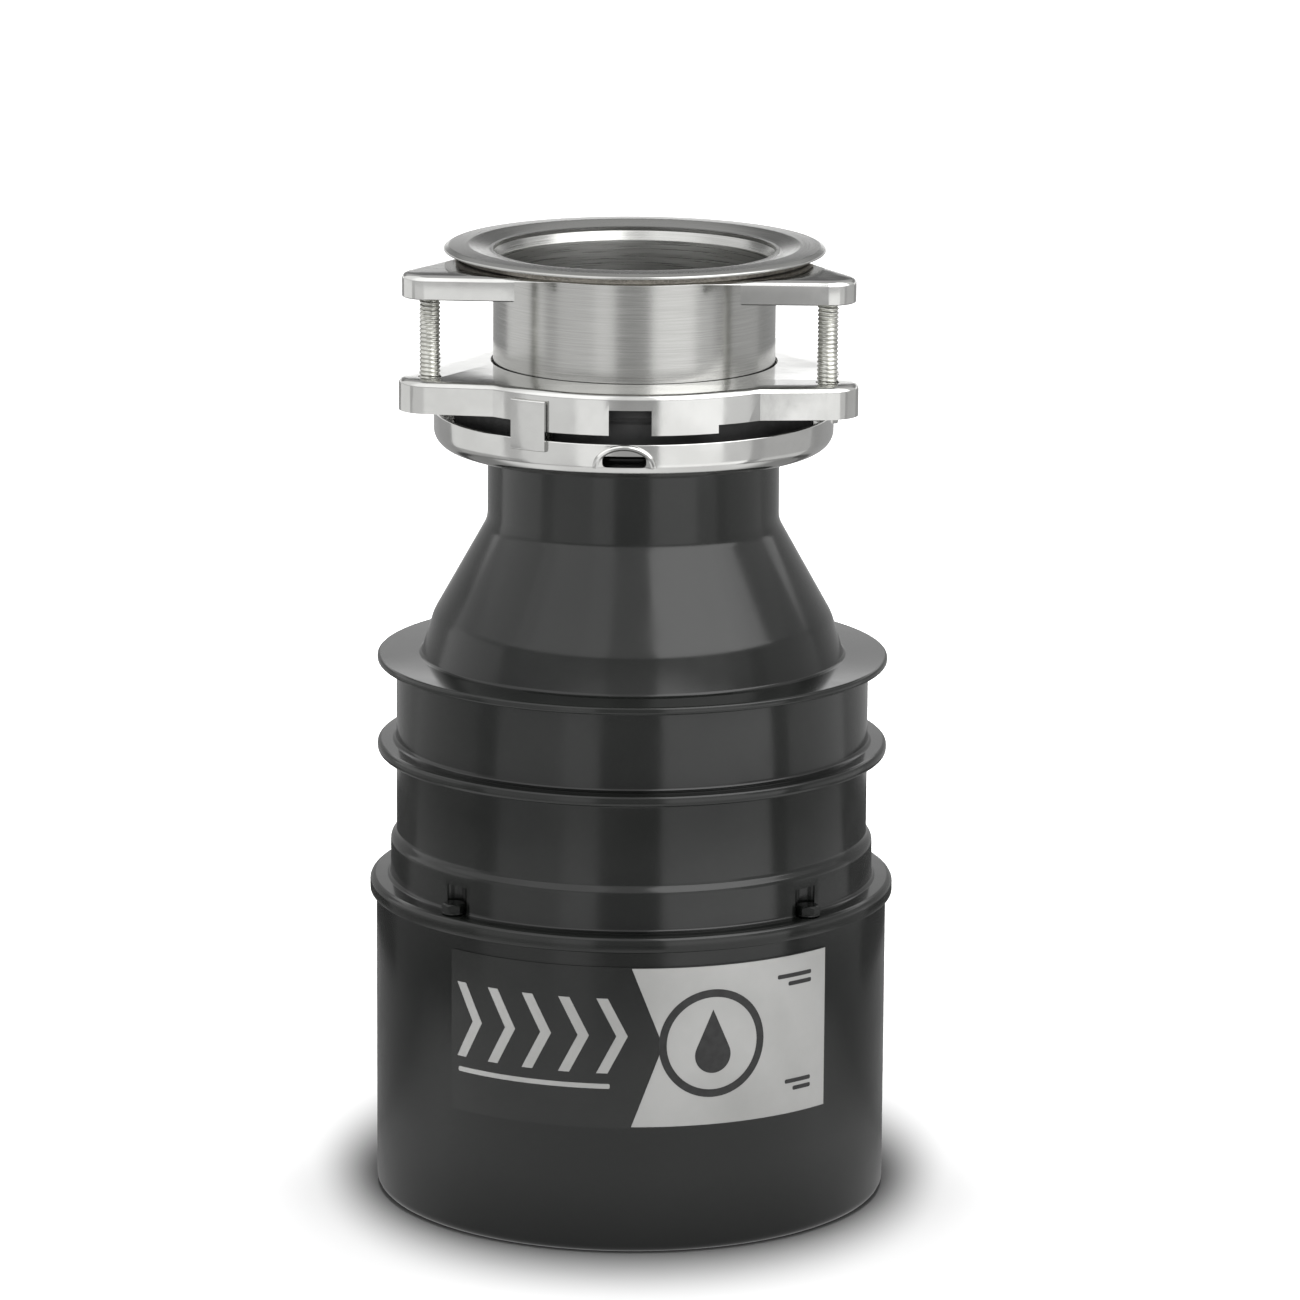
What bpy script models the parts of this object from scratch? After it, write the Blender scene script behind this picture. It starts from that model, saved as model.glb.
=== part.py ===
"""Kitchen garbage disposal: a food waste disposer with its three-screw sink mount.

It stands on its base. +Z is up, the front faces -Y and the discharge outlet faces +Y.
The origin is on the motor's axis, level with the underside of the base.
Lengths below are millimetres, and an azimuth is measured from the front towards +X.
"""
import math

import bmesh
import bpy
from mathutils import Matrix

MM = 0.001
GAP = 0.3               # between pieces that touch

# Motor can
CAN_R = 78.2
CAN_WALL = 1.3
CAN_TOP = 93.2
FOOT_INNER_R = 64.0     # the can stands on the ring between this and the bottom rounding
FLOOR_Z = 4.0           # underside of the recessed floor
FLOOR_TOP = 5.5

# Hopper: motor joint, ribs, cone and neck
FLANGE_R = 80.15        # half of the widest size, 160.3
FLANGE_TOP = 98.2
LOWER_WALL_R = 73.8
WALL_R = 72.0
RIB_R = 77.8
CHAMBER_R = 69.5        # bore of the grinding chamber
UPPER_RIB = (165.0, 167.4)
LOWER_RIB = (137.0, 140.6)
SHOULDER_R = 64.4
CONE_TOP_Z = 208.3
NECK_R = 44.3
NECK_BORE_R = 40.5
COLLAR_R = 52.0
COLLAR_BOTTOM = 233.4
COLLAR_TOP = 237.4
OUTLET_Z = 140.4        # 150.8 below the underside of the sink flange
OUTLET_R = 19.0
OUTLET_FACE_Y = 78.8
INLET_Z = 193.0         # dishwasher inlet
INLET_R = 11.0
INLET_END_Y = 74.0
HOUSING_BOLT_R = 75.0   # pitch radius of the bolts through the flange

# Sink mount
LIP_R = 57.6
LIP_TOP = 292.9
LIP_SEAT = 291.2        # underside that lies on the sink
SEAT_INNER_R = 54.9     # the gasket's recess ends here
SLEEVE_R = 42.7
SLEEVE_WALL = 1.2
SLEEVE_BOTTOM = 246.5
SCREW_CIRCLE_R = 68.3
SCREW_R = 3.175         # 1/4 inch
SHEET = 1.3             # stamped steel of the mount
BACKUP_TOP = 289.1
BACKUP_BOTTOM = 281.8
EAR_AZIMUTHS = (60, 180, 300)
RING_TOP = 257.6        # upper mounting ring
RING_R = 60.4
SKIRT_BOTTOM = 247.8
TAB_BOTTOM = 245.0
BOWL_R = 60.6           # lower mounting ring
BOWL_RIM = 242.7
BOWL_BOTTOM = 231.6
MOUNT_TURN = -2.8       # how the mount is clocked on the sink, degrees
BOWL_TURN = -5.7
WINDOW_AZIMUTH = -1.0   # first of the windows between the front tabs
TONGUE_AZIMUTH = -30.5  # first of the lower ring's tongues and straps
LUG_AZIMUTH = -2.6      # first of the lower ring's wrench loops

# Grinding chamber
TURNTABLE_R = 65.2
TURNTABLE_Z = 149.0      # underside of the disc
SHREDDER_Z0, SHREDDER_Z1 = 143.0, 161.0
SHREDDER_R = 68.6
LUG_PIVOT_R = 42.0

# Motor
THROUGH_BOLT_R = 73.3
SHAFT_R = 6.0
SHAFT_TOP = 160.4
STATOR_R = 70.5
STATOR_BORE_R = 38.6
STACK_BOTTOM, STACK_TOP = 34.0, 62.0
BUTTON_X, BUTTON_Y = 38.0, -30.0
COVER_X, COVER_Y = -6.0, 38.0
COVER_SCREW_X = (-33.0, 21.0)
GROUND_X, GROUND_Y = 35.5, 36.0

MATERIALS = {
    "black_enamel": ((0.025, 0.027, 0.025), 0.28, 0.0),
    "black_plastic": ((0.022, 0.024, 0.022), 0.32, 0.0),
    "chrome": ((0.82, 0.82, 0.80), 0.12, 1.0),
    "stainless": ((0.62, 0.62, 0.59), 0.30, 1.0),
    "rubber": ((0.03, 0.03, 0.03), 0.75, 0.0),
    "fibre": ((0.16, 0.15, 0.13), 0.85, 0.0),
    "cast_alloy": ((0.55, 0.55, 0.55), 0.50, 1.0),
    "bronze": ((0.55, 0.36, 0.15), 0.35, 1.0),
    "lamination": ((0.22, 0.23, 0.25), 0.45, 1.0),
    "copper_winding": ((0.62, 0.26, 0.09), 0.35, 1.0),
    "zinc_steel": ((0.62, 0.62, 0.58), 0.35, 1.0),
    "label_silver": ((0.58, 0.58, 0.56), 0.38, 0.2),
    "red_plastic": ((0.60, 0.03, 0.02), 0.35, 0.0),
    "green_paint": ((0.05, 0.30, 0.08), 0.40, 0.0),
}


# ---------------------------------------------------------------- scene and materials

def clear_scene():
    for obj in list(bpy.data.objects):
        bpy.data.objects.remove(obj, do_unlink=True)


def new_collection(name):
    collection = bpy.data.collections.new(name)
    bpy.context.scene.collection.children.link(collection)
    return collection


clear_scene()
PARTS = new_collection("garbage_disposal")
CUTTERS = new_collection("cutters")


def material(slot):
    found = bpy.data.materials.get(slot)
    if found:
        return found
    colour, roughness, metallic = MATERIALS[slot]
    mat = bpy.data.materials.new(slot)
    mat.use_nodes = True
    shader = mat.node_tree.nodes["Principled BSDF"]
    shader.inputs["Base Color"].default_value = (*colour, 1.0)
    shader.inputs["Roughness"].default_value = roughness
    shader.inputs["Metallic"].default_value = metallic
    return mat


# ---------------------------------------------------------------- basic shapes

def polar(radius, azimuth):
    """x and y of a point at an azimuth from the front."""
    angle = math.radians(azimuth)
    return radius * math.sin(angle), -radius * math.cos(angle)


def add_object(name, mesh, slot, at=(0, 0, 0), turn=0.0):
    """A part with a material, or a cutter where slot is None. Place and turn are in mm and degrees."""
    obj = bpy.data.objects.new(name, mesh)
    obj.location = [c * MM for c in at]
    obj.rotation_euler.z = math.radians(turn)
    if slot:
        PARTS.objects.link(obj)
        mesh.materials.append(material(slot))
        mesh.shade_smooth()
        mesh.set_sharp_from_angle(angle=math.radians(35))
    else:
        CUTTERS.objects.link(obj)
        obj.hide_render = True
        obj.display_type = "WIRE"
    return obj


def turned(name, profile, slot, at=(0, 0, 0), steps=36, closed=True):
    """A body of revolution about Z. The profile runs clockwise with +X to the right and +Z up."""
    bm = bmesh.new()
    verts = [bm.verts.new((r * MM, 0, z * MM)) for r, z in profile]
    pairs = list(zip(verts, verts[1:]))
    if closed:
        pairs.append((verts[-1], verts[0]))
    for a, b in pairs:
        bm.edges.new((a, b))
    mesh = bpy.data.meshes.new(name)
    bm.to_mesh(mesh)
    bm.free()
    obj = add_object(name, mesh, slot, at)
    screw = obj.modifiers.new("turn", "SCREW")
    screw.axis = "Z"
    screw.steps = steps
    screw.render_steps = steps
    screw.use_merge_vertices = True
    screw.merge_threshold = 0.00001
    screw.use_smooth_shade = False
    return obj


def cylinder(name, radius, z0, z1, slot, at=(0, 0), segments=32, axis="Z"):
    """A cylinder between two levels of its axis. With axis Y the levels are y, and at is x, z."""
    bm = bmesh.new()
    place = Matrix.Rotation(math.radians(-90), 4, "X") if axis == "Y" else Matrix()
    bmesh.ops.create_cone(bm, cap_ends=True, segments=segments, radius1=radius * MM,
                          radius2=radius * MM, depth=(z1 - z0) * MM, matrix=place)
    mesh = bpy.data.meshes.new(name)
    bm.to_mesh(mesh)
    bm.free()
    mid = (z0 + z1) / 2
    where = (at[0], mid, at[1]) if axis == "Y" else (at[0], at[1], mid)
    return add_object(name, mesh, slot, where)


def block(name, size, centre, turn=0.0):
    """A cutter in the shape of a box."""
    bm = bmesh.new()
    scale = Matrix.Diagonal([s * MM for s in size] + [1.0])
    bmesh.ops.create_cube(bm, size=1.0, matrix=scale)
    mesh = bpy.data.meshes.new(name)
    bm.to_mesh(mesh)
    bm.free()
    return add_object(name, mesh, None, centre, turn)


def as_mesh(curve_obj, name, slot, turn=0.0):
    """The curve as a welded mesh object. The curve is removed."""
    bpy.context.view_layer.update()
    evaluated = curve_obj.evaluated_get(bpy.context.evaluated_depsgraph_get())
    mesh = bpy.data.meshes.new_from_object(evaluated)
    mesh.name = name
    mesh.materials.clear()
    place = curve_obj.matrix_world.copy()
    data = curve_obj.data
    bpy.data.objects.remove(curve_obj)
    bpy.data.curves.remove(data)
    bm = bmesh.new()
    bm.from_mesh(mesh)
    bmesh.ops.remove_doubles(bm, verts=bm.verts, dist=0.000001)
    bmesh.ops.recalc_face_normals(bm, faces=bm.faces)
    bm.to_mesh(mesh)
    bm.free()
    obj = add_object(name, mesh, slot)
    obj.matrix_world = Matrix.Rotation(math.radians(turn), 4, "Z") @ place
    return obj


def plate(name, outlines, z0, z1, slot, turn=0.0, at=(0, 0)):
    """Flat outlines, the first outside and the others holes, made solid between two levels."""
    curve = bpy.data.curves.new(name + "_outline", "CURVE")
    curve.dimensions = "2D"
    curve.fill_mode = "BOTH"
    curve.extrude = (z1 - z0) / 2 * MM
    for points in outlines:
        spline = curve.splines.new("POLY")
        spline.points.add(len(points) - 1)
        for point, (x, y) in zip(spline.points, points):
            point.co = (x * MM, y * MM, 0, 1)
        spline.use_cyclic_u = True
    obj = bpy.data.objects.new(name + "_outline", curve)
    obj.location = (at[0] * MM, at[1] * MM, (z0 + z1) / 2 * MM)
    PARTS.objects.link(obj)
    return as_mesh(obj, name, slot, turn)


def tube(name, points, radius, turn):
    """A round bar through points given in mm, to add to a part."""
    curve = bpy.data.curves.new(name + "_path", "CURVE")
    curve.dimensions = "3D"
    curve.bevel_depth = radius * MM
    curve.bevel_resolution = 2
    curve.use_fill_caps = True
    spline = curve.splines.new("POLY")
    spline.points.add(len(points) - 1)
    for point, co in zip(spline.points, points):
        point.co = (co[0] * MM, co[1] * MM, co[2] * MM, 1)
    obj = bpy.data.objects.new(name + "_path", curve)
    PARTS.objects.link(obj)
    return as_mesh(obj, name, None, turn)


def joined(name, objects):
    """Cutters that don't touch each other, as one cutter."""
    bm = bmesh.new()
    bpy.context.view_layer.update()
    graph = bpy.context.evaluated_depsgraph_get()
    for obj in objects:
        mesh = bpy.data.meshes.new_from_object(obj.evaluated_get(graph))
        mesh.transform(obj.matrix_world)
        bm.from_mesh(mesh)
        bpy.data.meshes.remove(mesh)
        bpy.data.objects.remove(obj)
    mesh = bpy.data.meshes.new(name)
    bm.to_mesh(mesh)
    bm.free()
    return add_object(name, mesh, None)


def boolean(obj, other, operation="DIFFERENCE"):
    modifier = obj.modifiers.new(operation.lower(), "BOOLEAN")
    modifier.operation = operation
    modifier.solver = "EXACT"
    modifier.object = other
    return obj


# ---------------------------------------------------------------- outlines

def arc(centre, radius, start, end, steps):
    """Points on an arc, with angles in degrees from +X."""
    points = []
    for i in range(steps + 1):
        angle = math.radians(start + (end - start) * i / steps)
        points.append((centre[0] + radius * math.cos(angle), centre[1] + radius * math.sin(angle)))
    return points


def circle(radius, steps=48, centre=(0, 0)):
    return arc(centre, radius, 0, 360 * (steps - 1) / steps, steps - 1)


def eared_triangle(middle_r, ear_r, arc_steps=7):
    """A rounded triangle with an ear round each mounting screw, its sides bulging to a circle."""
    side_distance = SCREW_CIRCLE_R / 2 + ear_r
    half = math.degrees(math.acos(side_distance / middle_r)) - 3
    points = []
    for ear_azimuth in EAR_AZIMUTHS:
        ear_angle = ear_azimuth - 90
        points += arc(polar(SCREW_CIRCLE_R, ear_azimuth), ear_r, ear_angle - 60, ear_angle + 60, arc_steps)
        points += arc((0, 0), middle_r, ear_angle + 60 - half, ear_angle + 60 + half, arc_steps)
    return points


def sector(inner_r, outer_r, azimuth0, azimuth1, steps=8):
    outer = arc((0, 0), outer_r, azimuth0 - 90, azimuth1 - 90, steps)
    inner = arc((0, 0), inner_r, azimuth1 - 90, azimuth0 - 90, steps)
    return outer + inner


def wedges(name, inner_r, outer_r, z0, z1, centre, half):
    """The same sector at three places round the axis, as one cutter."""
    pieces = []
    for i in range(3):
        middle = centre + 120 * i
        outline = sector(inner_r, outer_r, middle - half, middle + half)
        pieces.append(plate(f"{name}_{i}", [outline], z0, z1, None))
    return joined(name, pieces)


def hexagon(across_flats):
    return circle(across_flats / math.sqrt(3), 6)


# ---------------------------------------------------------------- housing

def make_motor_can():
    w = CAN_WALL
    profile = [
        (CAN_R - w, CAN_TOP), (CAN_R, CAN_TOP), (CAN_R, 3.0), (CAN_R - 0.8, 0.9), (CAN_R - 2.9, 0),
        (FOOT_INNER_R, 0), (61.0, FLOOR_Z), (8.0, FLOOR_Z), (8.0, FLOOR_TOP), (60.4, FLOOR_TOP),
        (63.3, w), (CAN_R - 3.2, w), (CAN_R - w, 3.4),
    ]
    can = turned("motor_can", profile, "black_enamel")
    holes = [
        cylinder("button_hole", 5.2, 2, 8, None, (BUTTON_X, BUTTON_Y)),
        cylinder("ground_hole", 2.4, 2, 8, None, (GROUND_X, GROUND_Y), 16),
        block("lead_opening", (36, 18, 6), (COVER_X, COVER_Y, 5)),
    ]
    holes += [cylinder(f"cover_hole_{i}", 1.9, 2, 8, None, (x, COVER_Y), 16)
              for i, x in enumerate(COVER_SCREW_X)]
    boolean(can, joined("can_holes", holes))


def make_hopper():
    """Grinding chamber, cone and neck in one moulding, with the discharge outlet at the back."""
    outer = [
        (COLLAR_R, COLLAR_TOP), (COLLAR_R, COLLAR_BOTTOM), (NECK_R, COLLAR_BOTTOM), (NECK_R, CONE_TOP_Z + 0.7),
        (59.5, 181.6), (61.9, 176.0), (SHOULDER_R, UPPER_RIB[1]),
        (RIB_R, UPPER_RIB[1]), (RIB_R, UPPER_RIB[0]), (WALL_R, UPPER_RIB[0]),
        (WALL_R, LOWER_RIB[1]), (RIB_R, LOWER_RIB[1]), (RIB_R, LOWER_RIB[0]), (WALL_R, LOWER_RIB[0]),
        (WALL_R, 112.2), (LOWER_WALL_R, 110.0), (LOWER_WALL_R, FLANGE_TOP),
        (FLANGE_R - 1.5, FLANGE_TOP), (FLANGE_R, FLANGE_TOP - 1.5), (FLANGE_R, CAN_TOP + GAP),
    ]
    seal_groove = [(72.7, CAN_TOP + GAP), (72.7, 95.6), (70.4, 95.6), (70.4, CAN_TOP + GAP)]
    inner = [
        (CHAMBER_R, CAN_TOP + GAP), (CHAMBER_R, 161.8), (59.0, 164.4),
        (59.0, 175.3), (NECK_BORE_R, 208.8), (NECK_BORE_R, COLLAR_TOP),
    ]
    hopper = turned("hopper", outer + seal_groove + inner, "black_plastic")
    boss_outline = [(x * 33, OUTLET_Z + z * 24) for x, z in ((-1, -0.6), (-0.72, -1), (0.72, -1),
                    (1, -0.6), (1, 0.6), (0.72, 1), (-0.72, 1), (-1, 0.6))]
    boss = plate("outlet_boss", [boss_outline], 0, OUTLET_FACE_Y - 63, None)
    boss.matrix_world = (Matrix.Translation((0, (OUTLET_FACE_Y + 63) / 2 * MM, 0))
                         @ Matrix.Rotation(math.radians(90), 4, "X"))
    boolean(boss, cylinder("boss_hollow", CHAMBER_R + 1.1, 100, 180, None, segments=36))
    boolean(hopper, boss, "UNION")
    inlet = cylinder("inlet_stub", INLET_R, 40.0, INLET_END_Y, None, (0, INLET_Z), 24, "Y")
    boolean(inlet, turned("stub_hollow", [(0, 211), (41, 211), (60.3, 176), (0, 176)], None,
                          closed=False))
    boolean(hopper, inlet, "UNION")
    bores = [
        cylinder("outlet_bore", OUTLET_R, 40, 90, None, (0, OUTLET_Z), 32, "Y"),
        cylinder("inlet_bore", INLET_R - 3, 57.5, 90, None, (0, INLET_Z), 24, "Y"),
    ]
    boolean(hopper, joined("port_bores", bores))
    holes = [cylinder(f"outlet_screw_hole_{i}", 2.1, 70.5, 90, None, (x, OUTLET_Z), 12, "Y")
             for i, x in enumerate((-27, 27))]
    for i in range(4):
        at = polar(HOUSING_BOLT_R, 45 + 90 * i)
        holes.append(cylinder(f"bolt_hole_{i}", 1.8, 90, 99, None, at, 12))
    boolean(hopper, joined("screw_holes", holes))
    pockets = [cylinder(f"bolt_pocket_{i}", 4.4, FLANGE_TOP, 106.5, None,
                        polar(HOUSING_BOLT_R, 45 + 90 * i), 16) for i in range(4)]
    boolean(hopper, joined("bolt_pockets", pockets))


def make_hopper_gasket():
    turned("hopper_gasket", [(70.7, 95.3), (72.4, 95.3), (72.4, 93.5), (70.7, 93.5)], "rubber")


def make_upper_end_bell():
    """Casting that closes the grinding chamber's floor and carries the upper bearing and the seal."""
    profile = [
        (12.5, 130.0), (16.0, 130.0), (17.5, 121.0), (60.0, 115.6), (66.0, 117.6), (68.9, 117.6),
        (68.9, CAN_TOP), (76.6, CAN_TOP), (76.6, 88.2), (69.5, 88.2), (65.0, 91.5), (64.0, 111.0),
        (22.0, 114.5), (14.5, 114.5), (13.5, 99.5), (9.3, 99.5), (9.3, 126.0), (12.5, 126.0),
    ]
    bell = turned("upper_end_bell", profile, "cast_alloy")
    holes = []
    for i in range(4):
        holes.append(cylinder(f"bell_bolt_hole_{i}", 1.8, 89.6, 95, None,
                              polar(HOUSING_BOLT_R, 45 + 90 * i), 12))
        holes.append(cylinder(f"bell_through_hole_{i}", 2.35, 86, 91.6, None,
                              polar(THROUGH_BOLT_R, 90 * i), 12))
    boolean(bell, joined("bell_holes", holes))


def make_lower_end_bell():
    profile = [
        (9.3, 22.0), (13.5, 22.0), (15.0, 11.0), (68.0, 11.0), (71.0, 15.0), (76.4, 15.0),
        (76.4, 8.0), (9.3, 8.0),
    ]
    bell = turned("lower_end_bell", profile, "cast_alloy")
    holes = [
        cylinder("protector_opening", 10.5, 6, 13, None, (BUTTON_X, BUTTON_Y)),
        block("lead_pocket", (80, 26, 7), (0, COVER_Y, 9.5)),
    ]
    for i in range(4):
        holes.append(cylinder(f"lower_through_hole_{i}", 2.35, 6, 17, None,
                              polar(THROUGH_BOLT_R, 90 * i), 12))
    boolean(bell, joined("lower_bell_holes", holes))


def make_housing_bolts():
    """Four blackened hex bolts hold the hopper's flange to the end bell."""
    for i in range(4):
        at = polar(HOUSING_BOLT_R, 45 + 90 * i)
        bolt = plate(f"housing_bolt_{i + 1}", [hexagon(6.4)], FLANGE_TOP + GAP, FLANGE_TOP + 3.4,
                     "black_enamel", at=at)
        boolean(bolt, cylinder(f"housing_shank_{i}", 1.5, 90.0, FLANGE_TOP + 2, None, at, 12),
                "UNION")


def make_through_bolts():
    """Four long bolts clamp the two end bells round the stator."""
    for i in range(4):
        at = polar(THROUGH_BOLT_R, 90 * i)
        bolt = cylinder(f"through_bolt_{i + 1}", 2.0, 6.5, 91.3, "zinc_steel", at, 12)
        boolean(bolt, plate(f"through_head_{i}", [hexagon(5.4)], 4.2, 7.7, None, at=at), "UNION")


# ---------------------------------------------------------------- sink mount

def make_sink_flange():
    """Lip and sleeve. The sleeve's wall flares into the lip from just below the seat."""
    groove = SLEEVE_R - 0.6
    inner = SLEEVE_R - SLEEVE_WALL
    recess = LIP_SEAT + GAP
    turned("sink_flange", [
        (inner, LIP_SEAT - 0.6), (inner + 1.4, LIP_TOP - 0.8), (inner + 4.2, LIP_TOP - 0.2),
        (51.5, LIP_TOP), (56.2, LIP_TOP - 0.3), (LIP_R, LIP_TOP - 1.0),
        (LIP_R, LIP_SEAT), (SEAT_INNER_R, LIP_SEAT), (SEAT_INNER_R, recess), (SLEEVE_R, recess),
        (SLEEVE_R, 256.1), (groove, 256.1), (groove, 253.7), (SLEEVE_R, 253.7),
        (SLEEVE_R, SLEEVE_BOTTOM), (inner, SLEEVE_BOTTOM),
    ], "stainless")


def make_fibre_gasket():
    low = BACKUP_TOP + GAP
    turned("fibre_gasket", [(43.4, LIP_SEAT), (54.2, LIP_SEAT), (54.2, low), (43.4, low)], "fibre")


def tray(name, middle_r, ear_r, z0, z1):
    """An eared sheet with its edge turned down all round."""
    outer = eared_triangle(middle_r, ear_r)
    inner = eared_triangle(middle_r - SHEET, ear_r - SHEET)
    body = plate(name, [outer], z0, z1, "chrome", MOUNT_TURN)
    boolean(body, plate(name + "_hollow", [inner], z0 - 2, z1 - SHEET, None, MOUNT_TURN))
    return body


def make_backup_flange():
    """Stamped plate under the sink. Its edge is turned down round the three ears only."""
    flange = tray("backup_flange", 47.8, 8.3, BACKUP_BOTTOM, BACKUP_TOP)
    under = BACKUP_TOP - SHEET - 0.1
    bore = SLEEVE_R + 0.7
    boolean(flange, turned("backup_clear", [
        (0, BACKUP_TOP + 2), (bore, BACKUP_TOP + 2), (bore, under), (54.6, under),
        (54.6, BACKUP_BOTTOM - 2), (0, BACKUP_BOTTOM - 2)], None, closed=False))


def make_upper_mounting_ring():
    """Stamped tray, open below, with a skirt, three front tabs and an inner ledge.

    The ledge has a gap above each window, where a tongue of the lower ring comes in.
    """
    ring = tray("upper_mounting_ring", RING_R, 9.3, TAB_BOTTOM, RING_TOP)
    holes = [cylinder("ring_bore", SLEEVE_R + 0.7, 240, 262, None, segments=36)]
    for i, azimuth in enumerate(EAR_AZIMUTHS):
        at = polar(SCREW_CIRCLE_R, azimuth + MOUNT_TURN)
        holes.append(cylinder(f"ring_screw_hole_{i}", SCREW_R + GAP, 240, 262, None, at, 16))
    boolean(ring, joined("ring_holes", holes))
    boolean(ring, wedges("ring_slots", 50, 85, TAB_BOTTOM - 1, SKIRT_BOTTOM, BOWL_TURN + 60, 29.8))
    boolean(ring, wedges("ring_ledge", 56.9, RING_R - SHEET / 2, SKIRT_BOTTOM + 0.2,
                         SKIRT_BOTTOM + SHEET, WINDOW_AZIMUTH + 60, 52.5), "UNION")
    boolean(ring, wedges("ring_windows", 55, 66, TAB_BOTTOM - 1, 252.8, WINDOW_AZIMUTH, 6.0))


def make_snap_ring():
    groove = SLEEVE_R - 0.3
    profile = [(groove, 255.8), (46.6, 255.8), (46.6, 254.0), (groove, 254.0)]
    ring = turned("snap_ring", profile, "zinc_steel")
    boolean(ring, block("snap_ring_gap", (9, 20, 6), (0, 45, 255)))


def make_mounting_screws():
    for i, azimuth in enumerate(EAR_AZIMUTHS):
        at = polar(SCREW_CIRCLE_R, azimuth + MOUNT_TURN)
        screw = cylinder(f"mounting_screw_{i + 1}", SCREW_R, 251.5, BACKUP_TOP - SHEET - GAP,
                         "zinc_steel", at, 16)
        head = cylinder(f"screw_head_{i}", 5.2, 249.2, 252.2, None, at, 20)
        boolean(screw, head, "UNION")
        boolean(screw, block(f"screw_slot_{i}", (12, 1.4, 2.4), (at[0], at[1], 249.4),
                             turn=azimuth + MOUNT_TURN))


def make_mounting_gasket():
    """Rubber cushion between the sleeve and the hopper's collar, with the splash flaps in one piece."""
    bore = NECK_BORE_R - 0.5
    profile = [
        (SLEEVE_R + 0.4, 252.6), (53.6, 252.6), (54.4, 251.6), (54.4, 238.5), (53.6, COLLAR_TOP + GAP),
        (bore, COLLAR_TOP + GAP), (8.0, COLLAR_TOP + GAP), (8.0, 239.5), (bore - 1.5, 239.7),
        (bore, 241.5), (bore, 246.1), (SLEEVE_R + 0.4, 246.1),
    ]
    gasket = turned("mounting_gasket", profile, "rubber")
    slits = []
    for i in range(8):
        middle = polar(21.5, 22.5 + 45 * i)
        slits.append(block(f"slit_{i}", (0.7, 30, 6), (middle[0], middle[1], 238.5),
                           turn=22.5 + 45 * i))
    boolean(gasket, joined("flap_slits", slits))


def make_lower_mounting_ring():
    """Bowl that lifts the hopper's collar. Inner tongues engage the upper ring as it turns."""
    corner = 8.0
    rise = BOWL_BOTTOM + corner
    centre_r = BOWL_R - corner
    outer = [(BOWL_R - SHEET, BOWL_RIM), (BOWL_R, BOWL_RIM)]
    outer += arc((centre_r, rise), corner, 0, -90, 4)
    inner = [(44.9, BOWL_BOTTOM), (44.9, BOWL_BOTTOM + SHEET)]
    inner += arc((centre_r, rise), corner - SHEET, -90, 0, 4)
    bowl = turned("lower_mounting_ring", outer + inner, "chrome")

    tongue_profile = [
        (55.2, 250.8), (58.6, 250.8), (58.6, 249.5), (56.5, 249.5), (56.5, 241.4), (59.9, 241.4),
        (59.9, 239.9), (55.2, 239.9),
    ]
    tongues = turned("tongues", tongue_profile, None)
    boolean(tongues, wedges("tongue_sectors", 50, 65, 235, 255, TONGUE_AZIMUTH, 5.0), "INTERSECT")
    boolean(bowl, tongues, "UNION")

    strap_profile = [
        (60.8, 254.6), (62.0, 254.6), (62.0, 239.4), (60.0, 239.4), (60.0, 242.0), (60.8, 242.4),
    ]
    straps = turned("straps", strap_profile, None)
    boolean(straps, wedges("strap_sectors", 55, 70, 235, 258, TONGUE_AZIMUTH, 5.4), "INTERSECT")
    boolean(bowl, straps, "UNION")

    for i in range(3):
        azimuth = LUG_AZIMUTH + 120 * i
        points = []
        for x, z in arc((0, 0), 1, 180, 0, 6):
            points.append((x * 8.6, -61.0 + 1.6 * (1 - z), 235.6 + 6.2 * z))
        boolean(bowl, tube(f"wrench_loop_{i}", points, 0.9, azimuth), "UNION")
    eyes = [block(f"wrench_eye_{i}", (13, 12, 3.4), (*polar(58.5, LUG_AZIMUTH + 120 * i), 237.5),
                  turn=LUG_AZIMUTH + 120 * i) for i in range(3)]
    boolean(bowl, joined("wrench_eyes", eyes))


# ---------------------------------------------------------------- grinding chamber

def make_shredder_ring():
    profile = [(66.6, SHREDDER_Z1), (SHREDDER_R, SHREDDER_Z1), (SHREDDER_R, SHREDDER_Z0),
               (66.6, SHREDDER_Z0)]
    ring = turned("shredder_ring", profile, "stainless")
    slots = []
    for i in range(20):
        at = polar(67.5, 18 * i)
        slots.append(block(f"shred_slot_{i}", (6.5, 6, 11), (at[0], at[1], SHREDDER_Z0 + 4.5),
                           turn=18 * i))
    boolean(ring, joined("shred_slots", slots))


def make_turntable():
    z = TURNTABLE_Z
    profile = [
        (SHAFT_R + GAP, z + 4.0), (15.0, z + 4.0), (16.5, z + 2.2), (TURNTABLE_R, z + 2.0),
        (TURNTABLE_R, z), (16.0, z), (14.0, z - 4.0), (SHAFT_R + GAP, z - 4.0),
    ]
    table = turned("turntable", profile, "stainless")
    holes = [cylinder(f"rivet_hole_{i}", 3.3, z - 5, z + 5, None, (x, 0), 16)
             for i, x in enumerate((-LUG_PIVOT_R, LUG_PIVOT_R))]
    for i in range(6):
        at = polar(52.0, 30 + 60 * i)
        holes.append(cylinder(f"drain_hole_{i}", 3.0, z - 5, z + 5, None, at, 12))
    boolean(table, joined("turntable_holes", holes))


def make_turntable_nut():
    z = TURNTABLE_Z + 4.0 + GAP
    plate("turntable_nut", [hexagon(19.0), circle(SHAFT_R + GAP, 32)], z, z + 5.2, "zinc_steel")


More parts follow.
